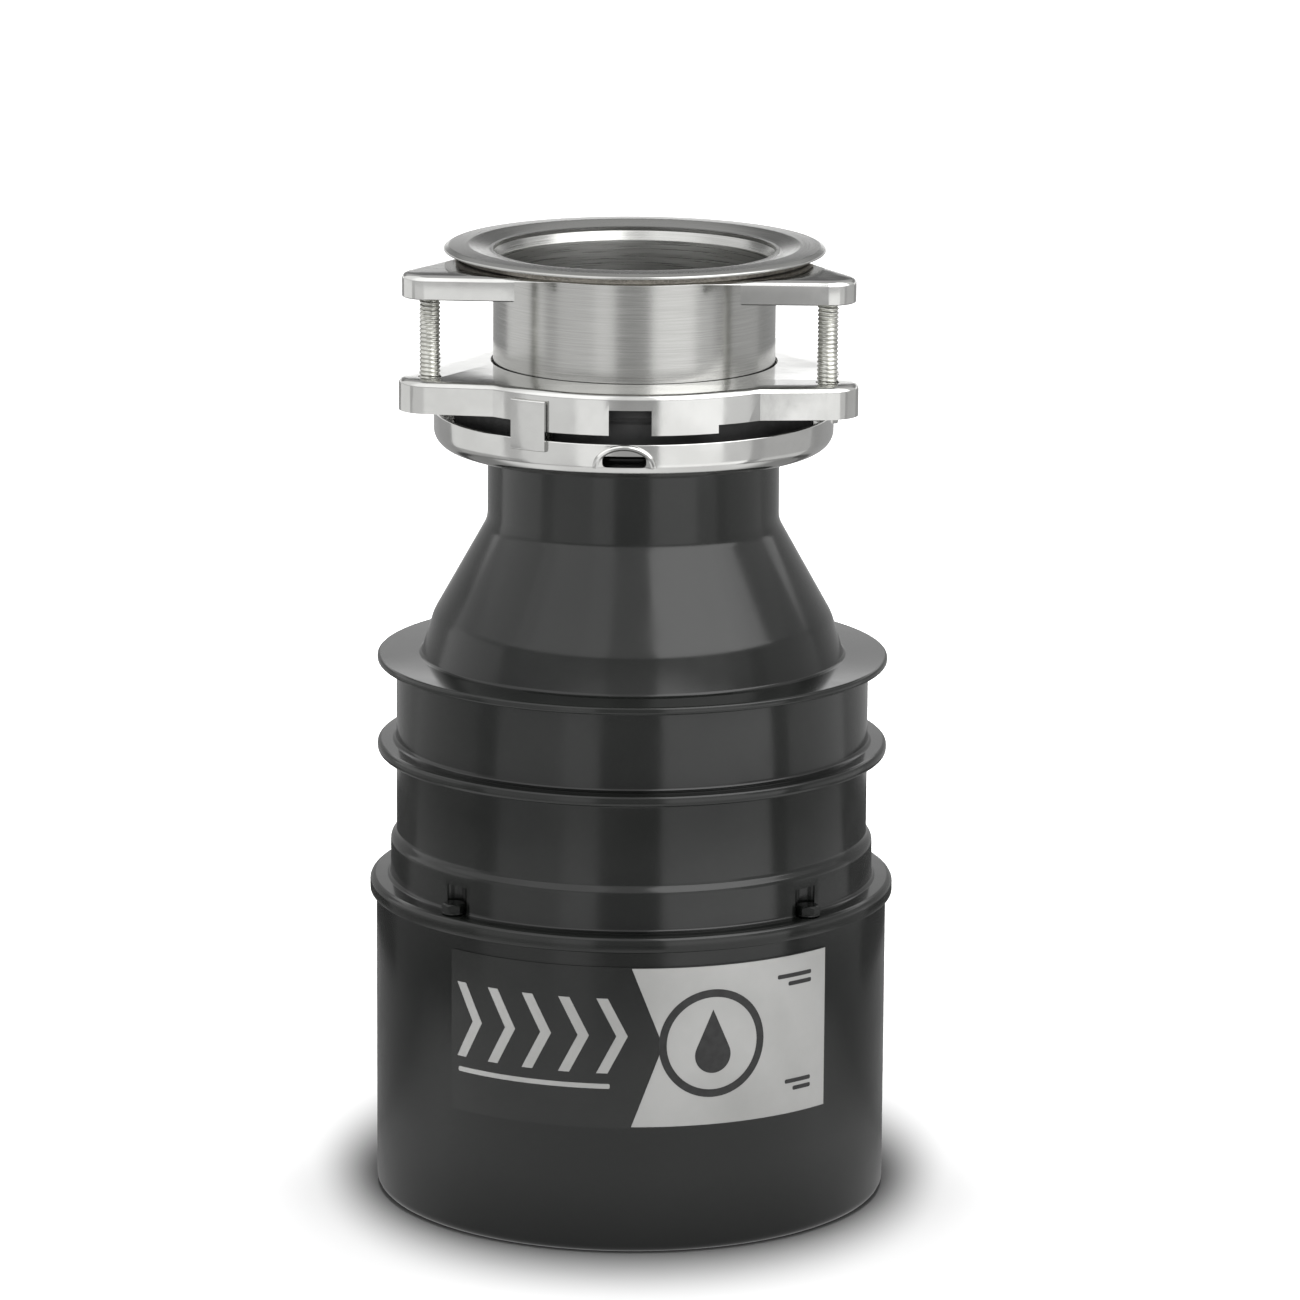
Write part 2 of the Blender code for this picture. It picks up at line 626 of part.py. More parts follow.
def make_impellers():
    """Two swivelling lugs, each on its rivet."""
    outline = arc((0, 0), 9.0, 90, 270, 10) + arc((12.0, -2.5), 5.5, -70, 70, 6)
    z = TURNTABLE_Z
    for i, side in enumerate((-1, 1)):
        x = side * LUG_PIVOT_R
        lug = plate(f"impeller_lug_{i + 1}", [outline, circle(3.4, 20)], z + 2.4, z + 9.4,
                    "stainless", at=(x, 0))
        lug.rotation_euler.z = math.radians(90 + 180 * i)
        turned(f"lug_rivet_{i + 1}", [
            (0, z + 12.0), (3.2, z + 11.5), (5.4, z + 9.8), (3.0, z + 9.8), (3.0, z - 0.4),
            (4.8, z - 0.4), (4.8, z - 2.4), (0, z - 2.4)], "zinc_steel", (x, 0, 0), 16, closed=False)


# ---------------------------------------------------------------- motor

def make_rotor():
    shaft = turned("rotor_shaft", [
        (0, SHAFT_TOP), (SHAFT_R - 0.6, SHAFT_TOP), (SHAFT_R, SHAFT_TOP - 0.6), (SHAFT_R, 7.2),
        (0, 7.2)],
        "zinc_steel", steps=32, closed=False)
    socket = plate("wrench_socket", [hexagon(6.35)], 5.0, 21.0, None)
    boolean(shaft, socket)
    low, high = STACK_BOTTOM - 1.0, STACK_TOP + 1.0
    rim = STATOR_BORE_R - 0.9
    turned("rotor_core", [
        (SHAFT_R + GAP, high), (26.0, high), (28.0, high + 3.5), (rim, high + 3.5),
        (rim, low - 3.5), (28.0, low - 3.5), (26.0, low), (SHAFT_R + GAP, low)], "lamination")


def make_stator():
    stator = turned("stator_core", [
        (STATOR_BORE_R, STACK_TOP), (STATOR_R, STACK_TOP), (STATOR_R, STACK_BOTTOM),
        (STATOR_BORE_R, STACK_BOTTOM)], "lamination")
    slots = []
    for i in range(24):
        at = polar(STATOR_BORE_R + 4.0, 15 * i)
        slots.append(block(f"stator_slot_{i}", (2.4, 9.0, 60), (at[0], at[1], 48), turn=15 * i))
    boolean(stator, joined("stator_slots", slots))

    def winding(name, low, high):
        bulge = 3.0
        turned(name, [
            (44.0 + bulge, high), (64.0 - bulge, high), (64.0, high - bulge), (64.0, low), (44.0, low),
            (44.0, high - bulge)],
            "copper_winding")

    winding("upper_winding", STACK_TOP + GAP, 78.0)
    winding("lower_winding", 19.0, STACK_BOTTOM - GAP)


def make_bearings_and_seal():
    bush_r = 9.0
    for name, low, high in (("upper_bushing", 100.0, 125.0), ("lower_bushing", 9.0, 21.0)):
        turned(name, [(SHAFT_R + GAP, high), (bush_r, high), (bush_r, low), (SHAFT_R + GAP, low)],
               "bronze", steps=24)
    turned("shaft_seal", [
        (SHAFT_R + GAP, 130.6), (8.0, 132.0), (12.2, 131.4), (12.2, 126.3), (SHAFT_R + GAP, 126.3)],
        "rubber", steps=24)
    turned("thrust_washer", [
        (SHAFT_R + GAP, 23.8), (11.0, 23.8), (11.0, 22.3), (SHAFT_R + GAP, 22.3)], "bronze", steps=24)


def make_start_switch():
    turned("switch_actuator", [
        (SHAFT_R + 0.4, 82.0), (15.0, 82.0), (15.0, 80.0), (9.5, 79.0), (9.5, 74.4),
        (SHAFT_R + 0.4, 74.4)], "black_plastic", steps=24)
    outline = sector(18.0, 40.0, 120, 240, 14)
    plate("start_switch", [outline], 85.0, 87.4, "black_plastic")


# ---------------------------------------------------------------- underside and label

def make_underside():
    turned("overload_protector", [
        (5.2, 16.0), (9.8, 16.0), (9.8, FLOOR_TOP + GAP), (5.2, FLOOR_TOP + GAP)],
        "black_plastic", (BUTTON_X, BUTTON_Y, 0), 24)
    turned("reset_button", [
        (0, 12.0), (4.6, 12.0), (4.6, 2.6), (3.9, 1.8), (0, 1.8)], "red_plastic",
        (BUTTON_X, BUTTON_Y, 0), 24, closed=False)

    corners = []
    for i, (x, y) in enumerate(((1, 1), (-1, 1), (-1, -1), (1, -1))):
        corners += arc((COVER_X + 26 * x, COVER_Y + 7 * y), 5, 90 * i, 90 * i + 90, 4)
    holes = [circle(1.9, 16, (x, COVER_Y)) for x in COVER_SCREW_X]
    holes.append(circle(10.2, 28, (COVER_X, COVER_Y)))
    plate("terminal_cover", [corners] + holes, 2.4, FLOOR_Z - GAP, "zinc_steel")
    for i, x in enumerate(COVER_SCREW_X):
        turned(f"cover_screw_{i + 1}", [
            (0, 9.0), (1.6, 9.0), (1.6, 2.1), (3.4, 2.1), (3.2, 1.0), (2.2, 0.5), (0, 0.4)],
            "zinc_steel", (x, COVER_Y, 0), 16, closed=False)
    turned("ground_screw", [
        (0, 9.0), (2.0, 9.0), (2.0, FLOOR_Z - GAP), (4.0, FLOOR_Z - GAP), (3.8, 2.2), (0, 1.6)],
        "green_paint", (GROUND_X, GROUND_Y, 0), 16, closed=False)


def make_nameplate():
    """Thin label wrapped round the front of the can."""
    inner = CAN_R + 0.12
    plate("nameplate", [sector(inner, inner + 0.25, -43.0, 48.2, 28)], 39.1, 88.7, "label_silver")


def main():
    make_motor_can()
    make_hopper()
    make_hopper_gasket()
    make_upper_end_bell()
    make_lower_end_bell()
    make_housing_bolts()
    make_through_bolts()
    make_sink_flange()
    make_fibre_gasket()
    make_backup_flange()
    make_upper_mounting_ring()
    make_snap_ring()
    make_mounting_screws()
    make_mounting_gasket()
    make_lower_mounting_ring()
    make_shredder_ring()
    make_turntable()
    make_turntable_nut()
    make_impellers()
    make_rotor()
    make_stator()
    make_bearings_and_seal()
    make_start_switch()
    make_underside()
    make_nameplate()


main()
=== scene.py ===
"""Looks of the kitchen garbage disposal: fine meshes, materials, studio and camera.

Lengths are in millimetres until a mesh is made, and an azimuth runs from the front (-Y) towards +X.
"""
import math

import bmesh
import bpy
from mathutils import Matrix, Vector


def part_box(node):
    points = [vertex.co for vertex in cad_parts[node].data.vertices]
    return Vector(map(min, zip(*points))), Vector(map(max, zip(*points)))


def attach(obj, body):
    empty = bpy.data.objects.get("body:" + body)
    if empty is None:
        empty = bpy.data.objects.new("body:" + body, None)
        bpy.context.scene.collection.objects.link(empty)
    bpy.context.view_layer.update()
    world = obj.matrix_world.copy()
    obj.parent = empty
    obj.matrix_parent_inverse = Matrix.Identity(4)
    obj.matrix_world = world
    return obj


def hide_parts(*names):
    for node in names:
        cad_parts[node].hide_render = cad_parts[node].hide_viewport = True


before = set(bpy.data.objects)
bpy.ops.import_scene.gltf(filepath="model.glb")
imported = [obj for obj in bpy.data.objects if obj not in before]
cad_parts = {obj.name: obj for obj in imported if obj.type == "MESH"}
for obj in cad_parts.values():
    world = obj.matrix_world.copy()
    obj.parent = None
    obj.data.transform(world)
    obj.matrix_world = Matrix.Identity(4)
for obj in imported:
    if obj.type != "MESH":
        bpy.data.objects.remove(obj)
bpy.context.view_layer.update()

MM = 0.001
GAP = 0.3
STEPS = 120             # facets round a large turned piece
SMALL_STEPS = 40
SHARP_ANGLE = 32        # edges steeper than this stay sharp
SLEEVE_R, SLEEVE_WALL = 42.7, 1.2


def levels(node):
    """Lowest and highest level of a CAD node."""
    low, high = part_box(node)
    return low.z / MM, high.z / MM


def extent(node):
    """Outer radius, lowest and highest level of a round CAD node that stands on the axis."""
    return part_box(node)[1].x / MM, *levels(node)


def polar(radius, azimuth):
    angle = math.radians(azimuth)
    return radius * math.sin(angle), -radius * math.cos(angle)


# ---------------------------------------------------------------- materials

class Shader:
    """One procedural material: a Principled shader fed by textures in the row frame."""

    def __init__(self, name, colour, roughness, metallic=0.0, **sockets):
        self.material = bpy.data.materials.new(name)
        self.material.use_nodes = True
        self.tree = self.material.node_tree
        self.surface = self.tree.nodes["Principled BSDF"]
        self.place = self.node("ShaderNodeTexCoord").outputs["Object"]
        self.set("Base Color", (*colour, 1.0))
        self.set("Roughness", roughness)
        self.set("Metallic", metallic)
        for socket, value in sockets.items():
            self.set(socket.replace("_", " "), value)
        self.height = None

    def node(self, kind, **settings):
        made = self.tree.nodes.new(kind)
        for key, value in settings.items():
            setattr(made, key, value)
        return made

    def set(self, socket, value):
        self.surface.inputs[socket].default_value = value

    def join(self, source, target):
        self.tree.links.new(source, target)

    def math(self, operation, *values):
        node = self.node("ShaderNodeMath", operation=operation)
        for socket, value in zip(node.inputs, values):
            if isinstance(value, (int, float)):
                socket.default_value = value
            else:
                self.join(value, socket)
        return node.outputs[0]

    def coordinates(self):
        node = self.node("ShaderNodeSeparateXYZ")
        self.join(self.place, node.inputs[0])
        return node.outputs

    def length(self, vector):
        node = self.node("ShaderNodeVectorMath", operation="LENGTH")
        self.join(vector, node.inputs[0])
        return node.outputs["Value"]

    def radius(self):
        """Distance from the Z axis, in metres."""
        flat = self.node("ShaderNodeVectorMath", operation="MULTIPLY")
        self.join(self.place, flat.inputs[0])
        flat.inputs[1].default_value = (1, 1, 0)
        return self.length(flat.outputs[0])

    def around_axis(self, ring_scale, turn_scale):
        """Coordinates that stretch a texture into lines round the Z axis, as turning or polishing does."""
        x, y, z = self.coordinates()
        combined = self.node("ShaderNodeCombineXYZ")
        self.join(self.math("MULTIPLY", self.radius(), ring_scale), combined.inputs[0])
        self.join(self.math("MULTIPLY", z, ring_scale), combined.inputs[1])
        self.join(self.math("MULTIPLY", self.math("ARCTAN2", y, x), turn_scale), combined.inputs[2])
        return combined.outputs[0]

    def noise(self, scale, detail=3.0, vector=None, distortion=0.0):
        node = self.node("ShaderNodeTexNoise")
        node.inputs["Scale"].default_value = scale
        node.inputs["Detail"].default_value = detail
        node.inputs["Distortion"].default_value = distortion
        self.join(vector or self.place, node.inputs["Vector"])
        return node.outputs["Fac"]

    def cells(self, scale):
        node = self.node("ShaderNodeTexVoronoi")
        node.inputs["Scale"].default_value = scale
        self.join(self.place, node.inputs["Vector"])
        return node.outputs["Distance"]

    def layers(self, period, distortion):
        """Level bands with a period in mm."""
        node = self.node("ShaderNodeTexWave", wave_type="BANDS", bands_direction="Z")
        node.inputs["Scale"].default_value = math.pi / (10 * period * MM)
        node.inputs["Distortion"].default_value = distortion
        self.join(self.place, node.inputs["Vector"])
        return node.outputs["Fac"]

    def spread(self, value, low, high, start=0.3, end=0.7):
        node = self.node("ShaderNodeMapRange")
        self.join(value, node.inputs["Value"])
        for socket, number in (("From Min", start), ("From Max", end), ("To Min", low), ("To Max", high)):
            node.inputs[socket].default_value = number
        return node.outputs["Result"]

    def tint(self, value, dark, light, start=0.35, end=0.65):
        """The colour goes from dark to light as a texture's value rises."""
        ramp = self.node("ShaderNodeValToRGB")
        ramp.color_ramp.elements[0].position = start
        ramp.color_ramp.elements[1].position = end
        ramp.color_ramp.elements[0].color = (*dark, 1.0)
        ramp.color_ramp.elements[1].color = (*light, 1.0)
        self.join(value, ramp.inputs[0])
        self.join(ramp.outputs[0], self.surface.inputs["Base Color"])
        return self

    def rough(self, value, low, high):
        self.join(self.spread(value, low, high), self.surface.inputs["Roughness"])
        return self

    def bump(self, value, depth):
        """Relief with a depth in mm. Later calls add to the earlier ones."""
        node = self.node("ShaderNodeBump")
        node.inputs["Distance"].default_value = depth * MM
        self.join(value, node.inputs["Height"])
        if self.height:
            self.join(self.height, node.inputs["Normal"])
        self.height = node.outputs["Normal"]
        self.join(self.height, self.surface.inputs["Normal"])
        return self


def grey(value, warm=0.0):
    return value, value, value * (1 - warm)


def make_materials():
    """Every finish, by name. Its textures take the place of the plain colour and roughness."""
    made = {}

    def start(name, *looks, **sockets):
        shader = Shader(name, *looks, **sockets)
        made[name] = shader.material
        return shader

    s = start("black_enamel", grey(0.008), 0.2, Specular_IOR_Level=0.42)
    s.tint(s.noise(18), (0.0055, 0.0065, 0.0057), (0.0085, 0.0095, 0.0084))
    s.rough(s.noise(60, 5), 0.17, 0.25).bump(s.noise(520, 2), 0.010)

    s = start("black_plastic", grey(0.009), 0.16)
    s.tint(s.noise(25), (0.0065, 0.0075, 0.0067), (0.0105, 0.0115, 0.0102))
    s.rough(s.noise(80, 5), 0.13, 0.20).bump(s.noise(900, 2), 0.003).bump(s.noise(28, 1), 0.02)

    s = start("chrome", grey(0.62, 0.02), 0.12, 1.0)
    s.tint(s.noise(45, 6), (0.56, 0.56, 0.545), (0.67, 0.67, 0.655))
    s.rough(s.noise(150, 6), 0.09, 0.18).bump(s.noise(70, 2), 0.05).bump(s.noise(900, 3), 0.003)

    bore_r = SLEEVE_R - SLEEVE_WALL
    for name in ("stainless", "sleeve_steel"):
        s = start(name, grey(0.60, 0.03), 0.24, 1.0)
        lines = s.noise(1.0, 4, s.around_axis(2600, 2.0))
        s.tint(lines, (0.44, 0.44, 0.425), (0.50, 0.50, 0.485))
        s.rough(lines, 0.18, 0.27).bump(lines, 0.002).bump(s.noise(55, 1), 0.02)
        if name == "sleeve_steel":
            # the sleeve's bore is left as drawn, so it is duller than the outside
            bore = s.spread(s.radius(), 0.26, 0.18, (bore_r - 0.1) * MM, (bore_r + 0.7) * MM)
            s.join(s.math("ADD", bore, s.spread(lines, 0.0, 0.09)), s.surface.inputs["Roughness"])

    s = start("ground_steel", grey(0.50, 0.03), 0.35, 1.0)
    lines = s.noise(1.0, 5, s.around_axis(1800, 5.0))
    s.tint(s.noise(120, 6), (0.40, 0.40, 0.385), (0.58, 0.58, 0.56))
    s.rough(lines, 0.28, 0.46).bump(lines, 0.012)

    s = start("zinc_steel", grey(0.60, 0.06), 0.32, 1.0)
    s.tint(s.noise(180, 5), (0.50, 0.50, 0.47), (0.68, 0.68, 0.64))
    s.rough(s.noise(400, 4), 0.25, 0.42).bump(s.noise(1500, 2), 0.004)

    s = start("rubber", grey(0.018), 0.62)
    s.tint(s.noise(90, 4), grey(0.013), grey(0.024))
    s.rough(s.noise(300, 4), 0.52, 0.72).bump(s.noise(1400, 3), 0.015)

    s = start("fibre", (0.13, 0.12, 0.10), 0.9)
    fibres = s.noise(1.0, 6, s.around_axis(900, 30.0), 2.0)
    s.tint(fibres, (0.09, 0.083, 0.07), (0.19, 0.175, 0.15)).bump(fibres, 0.08)

    s = start("cast_alloy", grey(0.52), 0.5, 1.0)
    s.tint(s.noise(90, 5), (0.42, 0.425, 0.43), (0.60, 0.60, 0.60))
    s.rough(s.noise(250, 4), 0.42, 0.6).bump(s.cells(800), 0.03).bump(s.noise(160, 5), 0.05)

    s = start("bronze", (0.50, 0.32, 0.14), 0.38, 1.0)
    s.tint(s.noise(500, 5), (0.40, 0.25, 0.10), (0.60, 0.40, 0.19)).rough(s.noise(200), 0.3, 0.46)
    s.bump(s.cells(2200), 0.01)

    s = start("lamination", grey(0.20), 0.45, 1.0)
    sheets = s.layers(0.65, 0.15)
    s.tint(sheets, (0.13, 0.14, 0.16), (0.30, 0.31, 0.33), 0.25, 0.75)
    s.rough(s.noise(200), 0.36, 0.55).bump(sheets, 0.06)

    s = start("copper_winding", (0.62, 0.24, 0.08), 0.3, 1.0, Coat_Weight=0.5, Coat_Roughness=0.2)
    wires = s.noise(1.0, 2, s.around_axis(1500, 2.5), 0.4)
    s.tint(wires, (0.30, 0.10, 0.03), (0.76, 0.33, 0.12)).rough(s.noise(300), 0.24, 0.4)
    s.bump(wires, 0.25)

    s = start("label_silver", grey(0.42, 0.02), 0.36, 0.3)
    s.tint(s.noise(30, 4), (0.37, 0.37, 0.36), (0.45, 0.45, 0.44))
    s.rough(s.noise(500, 4), 0.30, 0.44).bump(s.noise(1800, 2), 0.003)

    s = start("label_ink", grey(0.012), 0.38)
    s.tint(s.noise(400, 4), grey(0.009), grey(0.018)).rough(s.noise(600), 0.32, 0.45)

    s = start("label_film", grey(0.008), 0.2)
    s.tint(s.noise(30), (0.006, 0.007, 0.0062), (0.009, 0.010, 0.0088)).rough(s.noise(90), 0.18, 0.26)
    s.bump(s.noise(1500, 2), 0.002)

    s = start("red_plastic", (0.55, 0.03, 0.02), 0.3)
    s.tint(s.noise(200), (0.45, 0.02, 0.015), (0.60, 0.045, 0.03)).rough(s.noise(500), 0.25, 0.36)
    s.bump(s.noise(1500), 0.004)

    s = start("green_zinc", (0.05, 0.28, 0.08), 0.35, 0.6)
    s.tint(s.noise(300, 4), (0.03, 0.2, 0.05), (0.08, 0.34, 0.12)).rough(s.noise(500), 0.28, 0.45)
    s.bump(s.noise(1500), 0.005)
    return made


MATERIALS = make_materials()


# ---------------------------------------------------------------- mesh tools

def rounded(corners, closed=True, facets=5):
    """Corners (r, z) or (r, z, radius) as points, with an arc at each corner that has a radius."""
    points = []
    count = len(corners)
    for i, corner in enumerate(corners):
        here = Vector(corner[:2])
        radius = corner[2] if len(corner) > 2 else 0
        at_end = not closed and i in (0, count - 1)
        if radius <= 0 or at_end:
            points.append(tuple(here))
            continue
        back = Vector(corners[i - 1][:2]) - here
        ahead = Vector(corners[(i + 1) % count][:2]) - here
        half = back.angle(ahead) / 2
        cut = min(radius / math.tan(half), 0.48 * back.length, 0.48 * ahead.length)
        radius = cut * math.tan(half)
        back.normalize()
        ahead.normalize()
        centre = here + (back + ahead).normalized() * (radius / math.sin(half))
        first = here + back * cut - centre
        sweep = first.angle_signed(here + ahead * cut - centre)
        for k in range(facets + 1):
            arm = first.copy()
            arm.rotate(Matrix.Rotation(-sweep * k / facets, 2))
            points.append(tuple(centre + arm))
    return points


def to_object(name, mesh):
    obj = bpy.data.objects.new(name, mesh)
    bpy.context.scene.collection.objects.link(obj)
    return obj


def solid(name, bm):
    """The object of a closed bmesh, its faces turned outwards."""
    bmesh.ops.recalc_face_normals(bm, faces=bm.faces)
    mesh = bpy.data.meshes.new(name)
    bm.to_mesh(mesh)
    bm.free()
    return to_object(name, mesh)


def turned(name, profile, steps=STEPS, closed=True, span=None):
    """A closed surface turned about Z from points clockwise in (r, z), or a sector of one.

    An open profile starts and ends on the axis. span is (azimuth, azimuth) for a sector.
    """
    bm = bmesh.new()
    full = span is None
    low, high = (0, 360) if full else span
    count = steps if full else steps + 1
    rings = []
    for r, z in profile:
        if r < 1e-6:
            rings.append([bm.verts.new((0, 0, z * MM))] * count)
            continue
        ring = []
        for k in range(count):
            x, y = polar(r, low + (high - low) * k / steps)
            ring.append(bm.verts.new((x * MM, y * MM, z * MM)))
        rings.append(ring)
    pairs = list(zip(rings, rings[1:]))
    if closed:
        pairs.append((rings[-1], rings[0]))
    for upper, lower in pairs:
        for k in range(steps):
            n = (k + 1) % count
            corners = [upper[k], lower[k], lower[n], upper[n]]
            unique = [v for j, v in enumerate(corners) if v not in corners[:j]]
            if len(unique) > 2:
                bm.faces.new(unique)
    if not full:
        bm.faces.new([ring[0] for ring in rings])
        bm.faces.new([ring[-1] for ring in reversed(rings)])
    return solid(name, bm)


def lofted(name, rings):
    """A closed solid through rings of equally many points in mm, with flat ends."""
    bm = bmesh.new()
    loops = [[bm.verts.new([c * MM for c in point]) for point in ring] for ring in rings]
    for first, second in zip(loops, loops[1:]):
        for k in range(len(first)):
            n = (k + 1) % len(first)
            bm.faces.new([first[k], second[k], second[n], first[n]])
    bm.faces.new(loops[0])
    bm.faces.new(list(reversed(loops[-1])))
    return solid(name, bm)


def prism(name, outline, z0, z1):
    """A closed solid from an outline (x, y), between two levels."""
    bm = bmesh.new()
    bottom = [bm.verts.new((x * MM, y * MM, z0 * MM)) for x, y in outline]
    face = bm.faces.new(bottom)
    top = bmesh.ops.extrude_face_region(bm, geom=[face])["geom"]
    bmesh.ops.translate(bm, verts=[v for v in top if isinstance(v, bmesh.types.BMVert)],
                        vec=(0, 0, (z1 - z0) * MM))
    return solid(name, bm)


def arc(centre, radius, start, end, steps):
    points = []
    for i in range(steps + 1):
        angle = math.radians(start + (end - start) * i / steps)
        points.append((centre[0] + radius * math.cos(angle), centre[1] + radius * math.sin(angle)))
    return points


def circle(radius, steps=SMALL_STEPS, centre=(0, 0)):
    return arc(centre, radius, 0, 360 * (steps - 1) / steps, steps - 1)


def hexagon(across_flats):
    return circle(across_flats / math.sqrt(3), 6)


def rounded_box(width, height, radius, centre=(0, 0)):
    corner_steps = 6
    points = []
    for i, (x, y) in enumerate(((1, 1), (-1, 1), (-1, -1), (1, -1))):
        corner = (centre[0] + x * (width / 2 - radius), centre[1] + y * (height / 2 - radius))
        points += arc(corner, radius, 90 * i, 90 * i + 90, corner_steps)
    return points


def moved(obj, at=(0, 0, 0), turn=0.0, tilt=0.0):
    """Bakes a tilt about X, then a turn about Z, then a move in mm into the mesh."""
    obj.data.transform(Matrix.Translation([c * MM for c in at])
                       @ Matrix.Rotation(math.radians(turn), 4, "Z")
                       @ Matrix.Rotation(math.radians(tilt), 4, "X"))
    return obj


def applied(obj):
    """The object with its modifiers made part of its mesh."""
    graph = bpy.context.evaluated_depsgraph_get()
    mesh = bpy.data.meshes.new_from_object(obj.evaluated_get(graph))
    obj.modifiers.clear()
    old = obj.data
    obj.data = mesh
    bpy.data.meshes.remove(old)
    return obj


def boolean(obj, others, operation="DIFFERENCE"):
    """Cuts, or joins, one or more solids that don't touch each other."""
    others = others if isinstance(others, list) else [others]
    tool = others[0]
    if len(others) > 1:
        bm = bmesh.new()
        for other in others:
            bm.from_mesh(other.data)
        bm.to_mesh(tool.data)
        bm.free()
    modifier = obj.modifiers.new("boolean", "BOOLEAN")
    modifier.operation = operation
    modifier.solver = "EXACT"
    modifier.object = tool
    bpy.context.view_layer.update()
    applied(obj)
    for other in others:
        bpy.data.objects.remove(other)
    return obj


def bevelled(obj, width, segments=2, angle=40):
    modifier = obj.modifiers.new("bevel", "BEVEL")
    modifier.width = width * MM
    modifier.segments = segments
    modifier.limit_method = "ANGLE"
    modifier.angle_limit = math.radians(angle)
    modifier.use_clamp_overlap = True
    bpy.context.view_layer.update()
    return applied(obj)


def dress(obj, material):
    obj.data.materials.clear()
    obj.data.materials.append(MATERIALS[material])


def shown(obj, material, body="housing", node=None):
    """Finishes a piece: smooth shading, material, body and the CAD node it stands for."""
    dress(obj, material)
    obj.data.shade_smooth()
    obj.data.set_sharp_from_angle(angle=math.radians(SHARP_ANGLE))
    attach(obj, body)
    if node:
        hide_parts(node)
    return obj


def turned_piece(node, profile, material, body="housing", steps=STEPS, closed=True, at=(0, 0)):
    """A turned piece that stands for one CAD node."""
    obj = moved(turned(node + "_fine", profile, steps, closed), (*at, 0))
    return shown(obj, material, body, node)


def bar(name, radius, z0, z1, at=(0, 0), steps=SMALL_STEPS):
    profile = [(0, z1), (radius, z1), (radius, z0), (0, z0)]
    return moved(turned(name, profile, steps, closed=False), (*at, 0))


def bar_y(name, radius, y0, y1, at=(0, 0), steps=SMALL_STEPS):
    """A cylinder along Y, with its axis at x, z."""
    return moved(bar(name, radius, y0, y1, steps=steps), (at[0], 0, at[1]), tilt=-90)


# ---------------------------------------------------------------- housing

CAN_WALL = 1.3
FOOT_INNER_R = 64.0
FLOOR_Z, FLOOR_TOP, SHAFT_HOLE_R = 4.0, 5.5, 8.0
WALL_R = 72.0
RIB_R = 77.8
CHAMBER_R = 69.5
SHOULDER_R, SHOULDER_Z = 64.4, 167.4
NECK_R, NECK_BORE_R = 44.3, 40.5
COLLAR_BOTTOM = 233.4
OUTLET_Z, OUTLET_R, OUTLET_FACE_Y = 140.4, 19.0, 78.8
OUTLET_SCREW_X = (-27.0, 27.0)
INLET_Z, INLET_R, INLET_END_Y = 193.0, 11.0, 74.0
BUTTON_X, BUTTON_Y = 38.0, -30.0
COVER_X, COVER_Y = -6.0, 38.0
COVER_SCREW_X = (-33.0, 21.0)
GROUND_X, GROUND_Y = 35.5, 36.0
BOLT_R = 75.0
BOLT_AZIMUTHS = (45, 135, 225, 315)


def make_motor_can():
    radius, foot, top = extent("motor_can")
    w = CAN_WALL
    profile = rounded([
        (radius - w, top, 0.4), (radius, top, 0.4), (radius, foot, 3.0), (FOOT_INNER_R, foot, 1.0),
        (61.0, FLOOR_Z, 0.8), (SHAFT_HOLE_R, FLOOR_Z), (SHAFT_HOLE_R, FLOOR_TOP), (60.4, FLOOR_TOP, 0.8),
        (63.3, w, 0.6), (radius - w, w, 2.2),
    ])
    can = turned("motor_can_fine", profile, 144)
    holes = [
        bar("button_hole", 5.2, 2, 8, (BUTTON_X, BUTTON_Y)),
        bar("ground_hole", 2.4, 2, 8, (GROUND_X, GROUND_Y)),
        moved(prism("lead_opening", rounded_box(36, 18, 3), 2, 8), (COVER_X, COVER_Y, 0)),
    ]
    holes += [bar("cover_hole", 1.9, 2, 8, (x, COVER_Y)) for x in COVER_SCREW_X]
    boolean(can, holes)
    shown(can, "black_enamel", node="motor_can")


